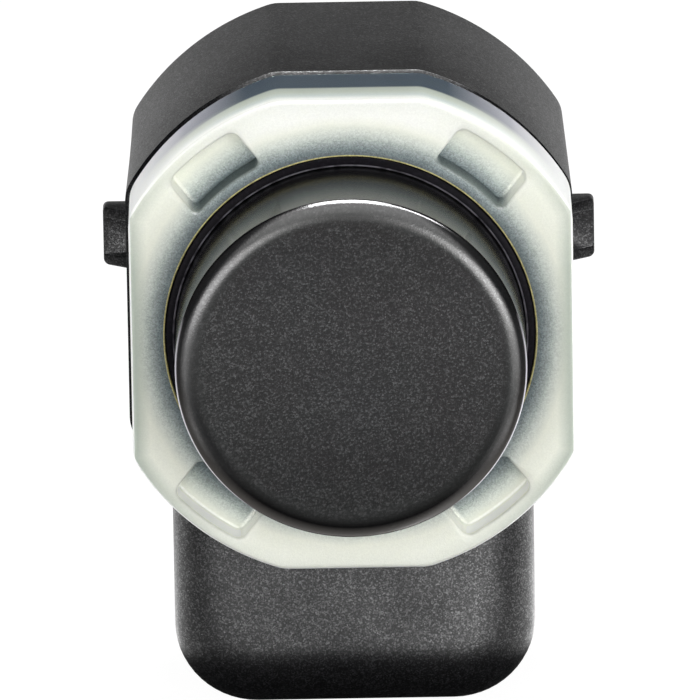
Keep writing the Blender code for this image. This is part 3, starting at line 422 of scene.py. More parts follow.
def makeCupPaint():
    # Charcoal powder paint over aluminium: grains of pale binder; just inside the lower edge a dark band of
    # painted shade, and outside it a brownish painted reflection of the ring
    material, tree, shader = newMaterial("charcoal powder paint")
    look = cupPaint
    coords, rare, distance = grainOf(tree, look["grain"], look["melt"])
    place, _, radius = placeOf(tree, coords)
    _, depth, z = addNode(tree, "ShaderNodeSeparateXYZ", {"Vector": place}).outputs
    start, end = look["lowerHalf"]
    below = addNode(tree, "ShaderNodeMapRange", {"Value": z, "From Min": start, "From Max": end}).outputs[0]

    # The paint pulls smooth over the rounded edge and the wall
    start, end = look["pull"]
    pulled = addNode(tree, "ShaderNodeMapRange", {
        "Value": radius, "From Min": start, "From Max": end, "To Max": look["pulled"]}).outputs[0]
    rare = addNode(tree, "ShaderNodeMix", {"Factor": pulled, "A": rare, "B": look["pulledGrain"]}).outputs[0]
    relief, smoother = (
        addNode(tree, "ShaderNodeMapRange", {"Value": pulled, "To Min": 1, "To Max": look[name]}).outputs[0]
        for name in ("pulledRelief", "pulledRoughness"))
    tone, shine, grainRough = (
        addNode(tree, "ShaderNodeMapRange", {"Value": rare, "To Min": ground, "To Max": top}).outputs[0]
        for ground, top in (look["tones"], look["shine"], look["roughness"]))

    # A thin dark band of painted shade just inside the lower edge, then a brownish painted reflection of the
    # ring on the edge outside it
    start, darkest, end = look["band"]
    inBand = addNode(tree, "ShaderNodeMapRange", {
        "Value": radius, "From Min": start, "From Max": darkest}, interpolation_type="SMOOTHSTEP").outputs[0]
    outBand = addNode(tree, "ShaderNodeMapRange", {
        "Value": radius, "From Min": darkest, "From Max": end}).outputs[0]
    shadeBandOnly = addNode(tree, "ShaderNodeMath", {0: inBand, 1: outBand}, operation="SUBTRACT").outputs[0]
    band = addNode(tree, "ShaderNodeMath", {0: shadeBandOnly, 1: below}, operation="MULTIPLY").outputs[0]
    edgeReflection = addNode(tree, "ShaderNodeMath", {0: outBand, 1: below}, operation="MULTIPLY").outputs[0]
    keep = addNode(tree, "ShaderNodeMapRange", {
        "Value": band, "To Min": 1, "To Max": look["bandKeep"]}).outputs[0]
    kept = addNode(tree, "ShaderNodeMath", {0: tone, 1: keep}, operation="MULTIPLY").outputs[0]
    paint = addNode(tree, "ShaderNodeVectorMath", {
        0: toLinear(look["base"])[:3], "Scale": kept}, operation="SCALE").outputs[0]
    edged = addNode(tree, "ShaderNodeMix", {
        "Factor": edgeReflection, "A": paint, "B": toLinear(look["edge"])}, data_type="RGBA").outputs["Result"]

    # A thin pale line round the rim, not at the top or bottom: a painted highlight where the rounded edge
    # turns to the side
    start, end = look["lineRadius"]
    rimGlint = addNode(tree, "ShaderNodeMapRange", {
        "Value": radius, "From Min": start, "From Max": end}).outputs[0]
    forward = addNode(tree, "ShaderNodeMath", {
        0: depth, 1: look["lineDepth"]}, operation="LESS_THAN").outputs[0]
    lowEnough, highEnough = (
        addNode(tree, "ShaderNodeMapRange", {"Value": z, "From Min": start, "From Max": end}).outputs[0]
        for start, end in (look["lineTop"], look["lineBottom"]))
    rimGlintHere = addNode(tree, "ShaderNodeMath", {0: rimGlint, 1: forward}, operation="MULTIPLY").outputs[0]
    rimGlintBetween = addNode(tree, "ShaderNodeMath", {
        0: lowEnough, 1: highEnough}, operation="MULTIPLY").outputs[0]
    rimGlintLevel = addNode(tree, "ShaderNodeMath", {
        0: rimGlintHere, 1: rimGlintBetween}, operation="MULTIPLY").outputs[0]
    lined = addNode(tree, "ShaderNodeMix", {
        "Factor": rimGlintLevel, "A": edged, "B": toLinear(look["line"])}, data_type="RGBA").outputs["Result"]

    # The face is a little duller towards its top and bottom
    offMiddle = addNode(tree, "ShaderNodeMath", {0: z}, operation="ABSOLUTE").outputs[0]
    start, end = look["fade"]
    faded = addNode(tree, "ShaderNodeMapRange", {
        "Value": offMiddle, "From Min": start, "From Max": end, "To Max": look["faceFade"]}).outputs[0]
    fadedFace = addNode(tree, "ShaderNodeMath", {0: faded, 1: relief}, operation="MULTIPLY").outputs[0]
    evened = addNode(tree, "ShaderNodeMapRange", {"Value": fadedFace, "To Min": 1, "To Max": 0}).outputs[0]
    keptFace = addNode(tree, "ShaderNodeMath", {0: keep, 1: evened}, operation="MULTIPLY").outputs[0]
    faceShine = addNode(tree, "ShaderNodeMath", {0: shine, 1: keptFace}, operation="MULTIPLY").outputs[0]

    # The wall shines most in front and least at its base, a painted shade where the ring and body hide it; it
    # is duller at the sides than on top
    start, end = look["wallDepth"]
    front, back = look["wallShine"]
    baseShade = addNode(tree, "ShaderNodeMapRange", {
        "Value": depth, "From Min": start, "From Max": end, "To Min": front, "To Max": back}).outputs[0]
    start, end = look["wallTop"]
    onTop = addNode(tree, "ShaderNodeMapRange", {
        "Value": z, "From Min": start, "From Max": end, "To Min": look["wallSide"]}).outputs[0]
    wallShine = addNode(tree, "ShaderNodeMath", {0: baseShade, 1: onTop}, operation="MULTIPLY").outputs[0]
    wallOnly = addNode(tree, "ShaderNodeMix", {"Factor": forward, "A": wallShine, "B": 1.0}).outputs[0]
    keptShine = addNode(tree, "ShaderNodeMath", {0: faceShine, 1: wallOnly}, operation="MULTIPLY").outputs[0]

    rough = addNode(tree, "ShaderNodeMath", {0: grainRough, 1: smoother}, operation="MULTIPLY").outputs[0]
    bump = addNode(tree, "ShaderNodeBump", {
        "Height": distance, "Strength": relief, "Distance": look["relief"] * mm}).outputs[0]
    setInputs(tree, shader, {
        "Base Color": lined, "Roughness": rough, "Normal": bump, "Specular IOR Level": keptShine})
    return material


# Sizes and places in millimetres; "shineUp" runs from the floor up to shineHeight
housingPlastic = {
    "base": "#0d0d0e", "grain": 0.06, "melt": 0.25, "relief": 0.004,
    "tones": (0.5, 3.0), "shine": (0.28, 0.95), "roughness": (0.35, 0.27),
    "clouds": 1 / 0.35, "cloudy": (0.8, 1.2),
    "shineUp": [(0.02, 0.30), (0.19, 1), (0.55, 1), (0.85, 0.37)], "shineHeight": 16,
    # Where the rim slants its shine is cut, a painted shade
    "rimTop": (4.2, 6.0), "rimSide": (9.75, 9.55), "rimDull": 0.12,
}


def makeHousingPlastic():
    # Glass-filled black nylon from an eroded mould: a dull skin with pale fibre ends in it
    material, tree, shader = newMaterial("black glass filled nylon")
    look = housingPlastic
    coords, rare, distance = grainOf(tree, look["grain"], look["melt"])
    tone, shine, rough = (
        addNode(tree, "ShaderNodeMapRange", {"Value": rare, "To Min": ground, "To Max": top}).outputs[0]
        for ground, top in (look["tones"], look["shine"], look["roughness"]))
    colour = addNode(tree, "ShaderNodeVectorMath", {
        0: toLinear(look["base"])[:3], "Scale": tone}, operation="SCALE").outputs[0]
    clouds = addNode(tree, "ShaderNodeTexNoise", {
        "Vector": coords, "Scale": 1 / (look["clouds"] * mm), "Detail": 3}).outputs["Fac"]
    thin, thick = look["cloudy"]
    cloudy = addNode(tree, "ShaderNodeMapRange", {
        "Value": clouds, "From Min": 0.3, "From Max": 0.7, "To Min": thin, "To Max": thick}).outputs[0]
    clouded = addNode(tree, "ShaderNodeMath", {0: shine, 1: cloudy}, operation="MULTIPLY").outputs[0]

    # The body is duller than the socket box, whose foot is dull as well; the rim's shine is cut where it
    # slants between top and sides, a painted shade on its reflection there, and kept along the top and sides
    place = addNode(tree, "ShaderNodeMapping", {
        "Vector": coords, "Scale": (1 / mm, 1 / mm, 1 / mm)}).outputs[0]
    x, y, z = addNode(tree, "ShaderNodeSeparateXYZ", {"Vector": place}).outputs
    height = addNode(tree, "ShaderNodeMath", {0: z, 1: look["shineHeight"]}, operation="DIVIDE").outputs[0]
    byHeight = addNode(tree, "ShaderNodeValToRGB", {"Fac": height}, stops=look["shineUp"]).outputs[0]
    across = addNode(tree, "ShaderNodeMath", {0: x}, operation="ABSOLUTE").outputs[0]
    offTop, offSide = (
        addNode(tree, "ShaderNodeMapRange", {"Value": across, "From Min": start, "From Max": end}).outputs[0]
        for start, end in (look["rimTop"], look["rimSide"]))
    rimDepth = faceY / mm + housing["front"] + housing["chamfer"][1] + 0.03
    onRim = addNode(tree, "ShaderNodeMath", {0: y, 1: rimDepth}, operation="LESS_THAN").outputs[0]
    slanted = addNode(tree, "ShaderNodeMath", {0: offTop, 1: offSide}, operation="MULTIPLY").outputs[0]
    dulled = addNode(tree, "ShaderNodeMath", {0: slanted, 1: onRim}, operation="MULTIPLY").outputs[0]
    rimKeep = addNode(tree, "ShaderNodeMapRange", {
        "Value": dulled, "To Min": 1, "To Max": look["rimDull"]}).outputs[0]
    placed = addNode(tree, "ShaderNodeMath", {0: byHeight, 1: rimKeep}, operation="MULTIPLY").outputs[0]
    polished = addNode(tree, "ShaderNodeMath", {0: clouded, 1: placed}, operation="MULTIPLY").outputs[0]
    bump = addNode(tree, "ShaderNodeBump", {
        "Height": distance, "Strength": 1, "Distance": look["relief"] * mm}).outputs[0]
    setInputs(tree, shader, {
        "Base Color": colour, "Roughness": rough, "Normal": bump, "Specular IOR Level": polished})
    return material


# Sizes in millimetres; the sleeve's front stands proud of the ring's face
sleeve = {
    "inner": 7.8, "outer": 8.2, "lipRadius": 6.95, "lip": 0.7, "edge": 0.06, "proud": 0.08, "steps": 256,
}
blackSilicone = {
    "base": "#060508", "dust": "#161419", "dustSize": 1 / 6, "roughness": (0.22, 0.40), "specular": 0.015,
    # The rim colour is a painted highlight along the sleeve's inner edge
    "rim": "#626066", "rimWidth": (0.095, 0.065), "rimBreaks": 0.625,
    "broken": (0.35, 0.55), "brokenKeep": 0.15,
}


def makeBlackSilicone():
    # Black liquid silicone rubber: smooth, a little glossy, with a faint violet cast, and dust that is drawn
    # coarser than it is so that it shows; a pale line runs inside its rim, broken here and there, a painted
    # highlight where it meets the cup
    material, tree, shader = newMaterial("black silicone rubber")
    look = blackSilicone
    coords = addNode(tree, "ShaderNodeTexCoord").outputs["Object"]
    dust = addNode(tree, "ShaderNodeTexNoise", {
        "Vector": coords, "Scale": 1 / (look["dustSize"] * mm), "Detail": 2}).outputs["Fac"]
    tone = addNode(tree, "ShaderNodeValToRGB", {"Fac": dust}, stops=[
        (0.5, look["base"]), (0.75, look["dust"])]).outputs["Color"]
    low, high = look["roughness"]
    rough = addNode(tree, "ShaderNodeMapRange", {"Value": dust, "To Min": low, "To Max": high}).outputs[0]
    _, flat, radius = placeOf(tree, coords)
    outer, inner = (sleeve["inner"] + width for width in look["rimWidth"])
    rim = addNode(tree, "ShaderNodeMapRange", {
        "Value": radius, "From Min": outer, "From Max": inner}).outputs[0]
    broken = addNode(tree, "ShaderNodeTexNoise", {
        "Vector": flat, "Scale": 1 / look["rimBreaks"], "Detail": 3}).outputs["Fac"]
    start, end = look["broken"]
    kept = addNode(tree, "ShaderNodeMapRange", {
        "Value": broken, "From Min": start, "From Max": end, "To Min": look["brokenKeep"]}).outputs[0]
    rimHighlightLevel = addNode(tree, "ShaderNodeMath", {0: rim, 1: kept}, operation="MULTIPLY").outputs[0]
    rimHighlighted = addNode(tree, "ShaderNodeMix", {
        "Factor": rimHighlightLevel, "A": tone, "B": toLinear(look["rim"])}, data_type="RGBA").outputs["Result"]
    setInputs(tree, shader, {
        "Base Color": rimHighlighted, "Roughness": rough, "Specular IOR Level": look["specular"]})
    return material


# Clear ring: a round with four flats and soft corners, a stepped bore and four pockets, in millimetres
ring = {
    "round": 11.29, "halfWidth": 9.83, "halfHeight": 10.82, "corner": 1.8, "edge": 0.22, "backEdge": 0.1,
    "bore": 8.235, "boreEdge": 0.03, "neckBore": 9.31, "neckDepth": 2.05, "shift": 0.08,
    "lower": 0.03, "steps": 720,
    "wallLoop": 2.3, "boreLoop": 1, "faceLoop": 9.3,  # loops between the edges, which keep the faces short
    "pocketAngle": 52, "pocketOuter": 10.71, "pocketWidth": 1.95, "pocketLength": 3.75, "pocketDepth": 1.4,
    "pocketCorner": 0.38,
    # A pocket's sections (depth, inset): flared at its mouth, then rounded at its floor
    "pocketMouth": [(-0.6, -0.12), (-0.02, -0.12), (0.02, -0.06), (0.08, -0.015), (0.16, 0)],
    "pocketFloor": [(-0.14, 0.03), (-0.04, 0.07), (0, 0.16)],
}

# Ramps run outwards over the face, and backwards over the wall; lengths in millimetres
clearSilicone = {
    "grain": 0.055, "grainy": (0.62, 0.06), "relief": 0.006, "roughness": 0.42, "specular": (0.07, 0.18),
    "softness": 0.35, "softScale": 1.0, "softRadius": (1, 1, 0.9),
    "faceEnd": 11.31, "faceRamp": (-0.04, 0.96), "drift": 0.08, "driftSize": 1 / 0.7, "sideReach": 0.03,
    "pocketFloor": (-0.26, -0.12),  # how far the dark reaches out on the pockets' floors, below and above
    "face": [
        (0.00, "#4c5558"), (0.06, "#5b6467"), (0.12, "#6f797a"), (0.22, "#979f9c"), (0.33, "#c2c8c1"),
        (0.50, "#e1e3d7"), (0.80, "#e6e8dd")],
    # Painted light and shade: milk lightens the top, band is shade and line a highlight on the rounded edge,
    # khaki the light through the inner edge
    "milk": "#eaebe6", "band": "#adb5ab", "line": "#f6f7f5", "khaki": "#c0b77c", "khakiLine": 0.05,
    "wallDepth": 4.6,
    "wall": [
        (0.08, "#f1f3ed"), (0.12, "#e2e6e1"), (0.20, "#c4cdc9"), (0.32, "#b4bcb0"), (0.45, "#a6ada2"),
        (0.50, "#39454f"), (1.0, "#333e48")],
    "paleWall": [(0.10, "#f4f5f0"), (0.20, "#e4e7e2"), (0.42, "#c9cdc5"), (0.60, "#9fa0a8"),
        (1.0, "#aeaeb5")],
    "palest": "#e1e2e1", "bar": "#454f50",
    # The pocket walls' white and glow are painted light
    "pocketWall": "#fbfcf4", "endLevel": 0.7, "glow": "#f4f6ec", "wallGlow": 0.16, "glowAbove": 0.5,
}


def makeClearSilicone():
    # Translucent silicone rubber with a fine eroded skin: milky where it is thick, and dark over the black
    # neck behind it
    material, tree, shader = newMaterial("translucent silicone rubber")
    look = clearSilicone
    coords = addNode(tree, "ShaderNodeTexCoord").outputs["Object"]
    place, flat, radius = placeOf(tree, coords)
    x, depth, z = addNode(tree, "ShaderNodeSeparateXYZ", {"Vector": place}).outputs
    across = addNode(tree, "ShaderNodeMath", {0: x}, operation="ABSOLUTE").outputs[0]
    upright = addNode(tree, "ShaderNodeMath", {0: z}, operation="ABSOLUTE").outputs[0]
    aside = addNode(tree, "ShaderNodeMath", {0: across, 1: radius}, operation="DIVIDE").outputs[0]
    above = addNode(tree, "ShaderNodeMath", {0: z, 1: radius}, operation="DIVIDE").outputs[0]

    # How far the point lies inside the outline: the least of its distances from the round and from the flats
    centred = addNode(tree, "ShaderNodeVectorMath", {
        0: flat, 1: (ring["shift"], 0, -ring["lower"])}, operation="SUBTRACT").outputs[0]
    outAway = addNode(tree, "ShaderNodeVectorMath", {0: centred}, operation="LENGTH").outputs["Value"]
    offX, _, offZ = addNode(tree, "ShaderNodeSeparateXYZ", {"Vector": centred}).outputs
    sideways = addNode(tree, "ShaderNodeMath", {0: offX}, operation="ABSOLUTE").outputs[0]
    updown = addNode(tree, "ShaderNodeMath", {0: offZ}, operation="ABSOLUTE").outputs[0]
    fromRound, fromSide, fromTop = (
        addNode(tree, "ShaderNodeMath", {0: ring[name], 1: reach}, operation="SUBTRACT").outputs[0]
        for name, reach in (("round", outAway), ("halfWidth", sideways), ("halfHeight", updown)))
    fromFlats = addNode(tree, "ShaderNodeMath", {0: fromSide, 1: fromTop}, operation="MINIMUM").outputs[0]
    inside = addNode(tree, "ShaderNodeMath", {0: fromFlats, 1: fromRound}, operation="MINIMUM").outputs[0]

    # The face, from the cup outwards: the dark neck shows through, then milk; the dark reaches further at
    # the sides
    drift = addNode(tree, "ShaderNodeTexNoise", {
        "Vector": place, "Scale": 1 / look["driftSize"], "Detail": 3}).outputs["Fac"]
    start, end = look["faceRamp"]
    outwards = addNode(tree, "ShaderNodeMapRange", {
        "Value": radius, "From Min": ring["bore"], "From Max": look["faceEnd"],
        "To Min": start, "To Max": end}).outputs[0]
    drifted = addNode(tree, "ShaderNodeMath", {
        0: drift, 1: look["drift"], 2: outwards}, operation="MULTIPLY_ADD").outputs[0]
    sideReach = addNode(tree, "ShaderNodeMapRange", {
        "Value": aside, "From Min": 0.5, "From Max": 1, "To Max": look["sideReach"]}).outputs[0]
    reached = addNode(tree, "ShaderNodeMath", {0: drifted, 1: sideReach}, operation="ADD").outputs[0]
    low, high = look["pocketFloor"]
    floorDark = addNode(tree, "ShaderNodeMapRange", {
        "Value": above, "From Min": -0.2, "From Max": 0.2, "To Min": low, "To Max": high}).outputs[0]
    sunk = addNode(tree, "ShaderNodeMapRange", {
        "Value": depth, "From Min": 0.1, "From Max": 1.3, "To Max": floorDark}).outputs[0]
    along = addNode(tree, "ShaderNodeMath", {0: reached, 1: sunk}, operation="ADD").outputs[0]
    face = addNode(tree, "ShaderNodeValToRGB", {"Fac": along}, stops=look["face"]).outputs["Color"]
    # Painted shade: the face is darker towards its sides
    sideShade = addNode(tree, "ShaderNodeMapRange", {
        "Value": aside, "From Min": 0.78, "From Max": 1, "To Min": 1, "To Max": 0.92}).outputs[0]
    shaded = addNode(tree, "ShaderNodeVectorMath", {0: face, "Scale": sideShade}, operation="SCALE").outputs[0]
    # Painted light: near the top the outer face is lighter, lit from above
    nearTop = addNode(tree, "ShaderNodeMapRange", {
        "Value": above, "From Min": 0.78, "From Max": 0.96}).outputs[0]
    outerFace = addNode(tree, "ShaderNodeMapRange", {
        "Value": along, "From Min": 0.43, "From Max": 0.62}).outputs[0]
    topLightLevel = addNode(tree, "ShaderNodeMath", {0: nearTop, 1: outerFace}, operation="MULTIPLY").outputs[0]
    milky = addNode(tree, "ShaderNodeMix", {
        "Factor": topLightLevel, "A": shaded, "B": toLinear(look["milk"])}, data_type="RGBA").outputs["Result"]

    # The rounded edge: a green-grey band inside a clear white line, all but at the top; the band is painted
    # shade and the line a painted highlight along the edge
    bandIn = addNode(tree, "ShaderNodeMapRange", {
        "Value": inside, "From Min": 0.80, "From Max": 0.22}).outputs[0]
    lower = addNode(tree, "ShaderNodeMapRange", {
        "Value": above, "From Min": 0.82, "From Max": 0.3, "To Min": 0.12, "To Max": 0.95}).outputs[0]
    notLow = addNode(tree, "ShaderNodeMapRange", {
        "Value": above, "From Min": -0.95, "From Max": -0.5, "To Min": 0.15}).outputs[0]
    bandHere = addNode(tree, "ShaderNodeMath", {0: bandIn, 1: lower}, operation="MULTIPLY").outputs[0]
    bandLevel = addNode(tree, "ShaderNodeMath", {0: bandHere, 1: notLow}, operation="MULTIPLY").outputs[0]
    banded = addNode(tree, "ShaderNodeMix", {
        "Factor": bandLevel, "A": milky, "B": toLinear(look["band"])}, data_type="RGBA").outputs["Result"]
    line = addNode(tree, "ShaderNodeMapRange", {
        "Value": inside, "From Min": 0.10, "From Max": 0.05}).outputs[0]
    lineLow = addNode(tree, "ShaderNodeMapRange", {
        "Value": above, "From Min": 0.92, "From Max": 0.5, "To Min": 0.1}).outputs[0]
    lineLevel = addNode(tree, "ShaderNodeMath", {0: line, 1: lineLow}, operation="MULTIPLY").outputs[0]
    edged = addNode(tree, "ShaderNodeMix", {
        "Factor": lineLevel, "A": banded, "B": toLinear(look["line"])}, data_type="RGBA").outputs["Result"]

    # The side wall, from the front edge back: white where light passes through the rubber, a painted light,
    # then a green-grey turn, then slate where the neck lies behind it; the slanted parts are paler
    backwards = addNode(tree, "ShaderNodeMath", {
        0: depth, 1: look["wallDepth"]}, operation="DIVIDE").outputs[0]
    wall, paleWall = (
        addNode(tree, "ShaderNodeValToRGB", {"Fac": backwards}, stops=look[name]).outputs["Color"]
        for name in ("wall", "paleWall"))
    furthest = addNode(tree, "ShaderNodeMapRange", {
        "Value": across, "From Min": 7.2, "From Max": 9.4}).outputs[0]
    palest = addNode(tree, "ShaderNodeMix", {
        "Factor": furthest, "A": paleWall, "B": toLinear(look["palest"])}, data_type="RGBA").outputs["Result"]
    diagonal = addNode(tree, "ShaderNodeMapRange", {
        "Value": across, "From Min": 4.5, "From Max": 7.5}).outputs[0]
    sideWall = addNode(tree, "ShaderNodeMix", {
        "Factor": diagonal, "A": wall, "B": palest}, data_type="RGBA").outputs["Result"]
    onWall = addNode(tree, "ShaderNodeMapRange", {
        "Value": inside, "From Min": 0.08, "From Max": 0.02}).outputs[0]
    behindEdge = addNode(tree, "ShaderNodeMath", {0: depth, 1: 0.3}, operation="GREATER_THAN").outputs[0]
    wallLevel = addNode(tree, "ShaderNodeMath", {0: onWall, 1: behindEdge}, operation="MULTIPLY").outputs[0]
    walled = addNode(tree, "ShaderNodeMix", {
        "Factor": wallLevel, "A": edged, "B": sideWall}, data_type="RGBA").outputs["Result"]

    # The pockets' inner wall stands right over the neck, so it is a dark bar
    halfLength, outerRadius = ring["pocketLength"] / 2, ring["pocketOuter"]
    wallRadius = outerRadius - ring["pocketWidth"]
    turn = addNode(tree, "ShaderNodeMath", {0: upright, 1: across}, operation="ARCTAN2").outputs[0]
    offTurn = addNode(tree, "ShaderNodeMath", {
        0: turn, 1: math.radians(ring["pocketAngle"])}, operation="SUBTRACT").outputs[0]
    offAngle = addNode(tree, "ShaderNodeMath", {0: offTurn}, operation="ABSOLUTE").outputs[0]
    alongPocket = addNode(tree, "ShaderNodeMapRange", {
        "Value": offAngle, "From Min": (halfLength - 0.05) / wallRadius,
        "From Max": (halfLength - 0.35) / wallRadius}).outputs[0]
    onBar = addNode(tree, "ShaderNodeMapRange", {
        "Value": radius, "From Min": wallRadius + 0.22, "From Max": wallRadius + 0.10}).outputs[0]
    deep = addNode(tree, "ShaderNodeMapRange", {
        "Value": depth, "From Min": 0.04, "From Max": 0.30}).outputs[0]
    barHere = addNode(tree, "ShaderNodeMath", {0: onBar, 1: deep}, operation="MULTIPLY").outputs[0]
    slant = addNode(tree, "ShaderNodeMath", {0: x, 1: z}, operation="ADD").outputs[0]
    paler = addNode(tree, "ShaderNodeMapRange", {
        "Value": slant, "From Min": 4, "From Max": 12, "To Min": 1, "To Max": 0.35}).outputs[0]
    barLength = addNode(tree, "ShaderNodeMath", {0: barHere, 1: alongPocket}, operation="MULTIPLY").outputs[0]
    barLevel = addNode(tree, "ShaderNodeMath", {0: barLength, 1: paler}, operation="MULTIPLY").outputs[0]
    barred = addNode(tree, "ShaderNodeMix", {
        "Factor": barLevel, "A": walled, "B": toLinear(look["bar"])}, data_type="RGBA").outputs["Result"]

    # The pockets' outer and end walls are painted light: as white as the thick rubber behind them, which
    # lights them, with their shade taken out
    onOuter = addNode(tree, "ShaderNodeMapRange", {
        "Value": radius, "From Min": outerRadius - 0.20, "From Max": outerRadius - 0.12}).outputs[0]
    offEnd = addNode(tree, "ShaderNodeMath", {0: offAngle, 1: radius}, operation="MULTIPLY").outputs[0]
    pocketReach = addNode(tree, "ShaderNodeMath", {
        0: offEnd, 1: halfLength + 0.2}, operation="LESS_THAN").outputs[0]
    notBeyond = addNode(tree, "ShaderNodeMath", {
        0: radius, 1: outerRadius + 0.13}, operation="LESS_THAN").outputs[0]
    within = addNode(tree, "ShaderNodeMath", {0: pocketReach, 1: notBeyond}, operation="MULTIPLY").outputs[0]
    onEnd = addNode(tree, "ShaderNodeMapRange", {
        "Value": offEnd, "From Min": halfLength - 0.24, "From Max": halfLength - 0.12}).outputs[0]
    offBar = addNode(tree, "ShaderNodeMapRange", {
        "Value": radius, "From Min": wallRadius + 0.2, "From Max": wallRadius + 0.8}).outputs[0]
    endFull = addNode(tree, "ShaderNodeMath", {0: onEnd, 1: offBar}, operation="MULTIPLY").outputs[0]
    endHere = addNode(tree, "ShaderNodeMath", {
        0: endFull, 1: look["endLevel"]}, operation="MULTIPLY").outputs[0]
    eitherWall = addNode(tree, "ShaderNodeMath", {0: onOuter, 1: endHere}, operation="MAXIMUM").outputs[0]
    wallsOnly = addNode(tree, "ShaderNodeMath", {0: eitherWall, 1: within}, operation="MULTIPLY").outputs[0]
    pocketLightLevel = addNode(tree, "ShaderNodeMath", {0: wallsOnly, 1: deep}, operation="MULTIPLY").outputs[0]
    pocketLit = addNode(tree, "ShaderNodeMix", {
        "Factor": pocketLightLevel, "A": barred,
        "B": toLinear(look["pocketWall"])}, data_type="RGBA").outputs["Result"]
    # A faint glow on these walls, painted light, stronger below than above
    glowBelow = addNode(tree, "ShaderNodeMapRange", {
        "Value": above, "From Min": 0.2, "From Max": -0.2, "To Min": look["glowAbove"]}).outputs[0]
    glowDepth = addNode(tree, "ShaderNodeMapRange", {
        "Value": depth, "From Min": 1.05, "From Max": 1.3,
        "To Min": look["wallGlow"], "To Max": 0}).outputs[0]
    glowHere = addNode(tree, "ShaderNodeMath", {0: glowBelow, 1: glowDepth}, operation="MULTIPLY").outputs[0]
    glow = addNode(tree, "ShaderNodeMath", {0: pocketLightLevel, 1: glowHere}, operation="MULTIPLY").outputs[0]

    # A khaki line at the ring's inner edge next to the sleeve: painted light, which the thin edge lets
    # through
    khakiRadius = ring["bore"] + look["khakiLine"]
    khaki = addNode(tree, "ShaderNodeMapRange", {
        "Value": radius, "From Min": khakiRadius + 0.03, "From Max": khakiRadius}).outputs[0]
    lined = addNode(tree, "ShaderNodeMix", {
        "Factor": khaki, "A": pocketLit, "B": toLinear(look["khaki"])}, data_type="RGBA").outputs["Result"]

    # Grain of the eroded skin, strongest over the dark neck, and as coarse as it needs to be to show
    cells = addNode(tree, "ShaderNodeTexVoronoi", {"Vector": place, "Scale": 1 / look["grain"]}, feature="F1")
    grain = addNode(tree, "ShaderNodeSeparateColor", {"Color": cells.outputs["Color"]}).outputs[0]
    strong, faint = look["grainy"]
    strength = addNode(tree, "ShaderNodeMapRange", {
        "Value": along, "From Min": 0.12, "From Max": 0.45, "To Min": strong, "To Max": faint}).outputs[0]
    middled = addNode(tree, "ShaderNodeMath", {0: grain, 1: 0.5}, operation="SUBTRACT").outputs[0]
    grainy = addNode(tree, "ShaderNodeMath", {
        0: middled, 1: strength, 2: 1.0}, operation="MULTIPLY_ADD").outputs[0]
    finished = addNode(tree, "ShaderNodeVectorMath", {
        0: lined, "Scale": grainy}, operation="SCALE").outputs[0]
    bump = addNode(tree, "ShaderNodeBump", {
        "Height": cells.outputs["Distance"], "Strength": 1, "Distance": look["relief"] * mm}).outputs[0]
    dull, bright = look["specular"]
    edgeShine = addNode(tree, "ShaderNodeMapRange", {
        "Value": inside, "From Min": 0.15, "From Max": 0.4, "To Min": dull, "To Max": bright}).outputs[0]
    setInputs(tree, shader, {
        "Base Color": finished, "Roughness": look["roughness"], "Normal": bump,
        "Specular IOR Level": edgeShine,
        "Subsurface Weight": look["softness"], "Subsurface Scale": look["softScale"] * mm,
        "Subsurface Radius": look["softRadius"],
        "Emission Color": toLinear(look["glow"]), "Emission Strength": glow})
    return material


# What lies inside, by slot: name, main and second colour, pattern size in millimetres, roughness, metallic
innerFinishes = {
    # Chalky silver, brushed on through a screen
    "piezo_ceramic": ("fired silver on ceramic", "#b9b6ad", "#d6d4cc", 0.25, 0.38, 0.6),
    # Dull, with small open cells
    "grey_foam": ("cast silicone foam", "#75757a", "#95959a", 0.18, 0.85, 0),
    # Even satin, slightly clouded
    "carrier_plastic": ("moulded PBT", "#2b2b2e", "#343437", 0.40, 0.50, 0),
    # Pale satin metal
    "tinned_brass": ("bright tin plate on brass", "#c9c5b8", "#b5b1a3", 0.30, 0.28, 1),
    # Red-brown metal under clear varnish
    "copper_wire": ("enamelled copper wire", "#a2572f", "#7d3d20", 0.12, 0.30, 0.7),
    # Glossy green with a faint weave
    "board_laminate": ("solder resist on glass laminate", "#14532f", "#1b6338", 0.35, 0.32, 0),
    # Black and slightly gritty
    "moulded_epoxy": ("moulded epoxy", "#1c1c1e", "#29292b", 0.15, 0.62, 0),
    # Tan and fine-grained
    "ceramic_part": ("fired chip ceramic", "#8d7256", "#a48a6c", 0.20, 0.45, 0),
    # Dull dark grey
    "ferrite": ("sintered ferrite", "#3a3a3c", "#49494c", 0.15, 0.55, 0),
    # Dark, and smooth as it set
    "potting_resin": ("cast potting resin", "#2c2c2f", "#333337", 0.80, 0.22, 0),
}


def makeInnerFinish(name, main, second, size, roughness, metallic):
    material, tree, shader = newMaterial(name)
    coords = addNode(tree, "ShaderNodeTexCoord").outputs["Object"]
    pattern = addNode(tree, "ShaderNodeTexNoise", {
        "Vector": coords, "Scale": 1 / (size * mm), "Detail": 3}).outputs["Fac"]
    colour = addNode(tree, "ShaderNodeValToRGB", {"Fac": pattern}, stops=[
        (0.4, main), (0.6, second)]).outputs["Color"]
    rough = addNode(tree, "ShaderNodeMapRange", {
        "Value": pattern, "To Min": roughness * 0.85, "To Max": roughness * 1.15}).outputs[0]
    bump = addNode(tree, "ShaderNodeBump", {
        "Height": pattern, "Strength": 0.4, "Distance": 0.02 * mm}).outputs[0]
    setInputs(tree, shader, {"Base Color": colour, "Roughness": rough, "Metallic": metallic, "Normal": bump})
    return material


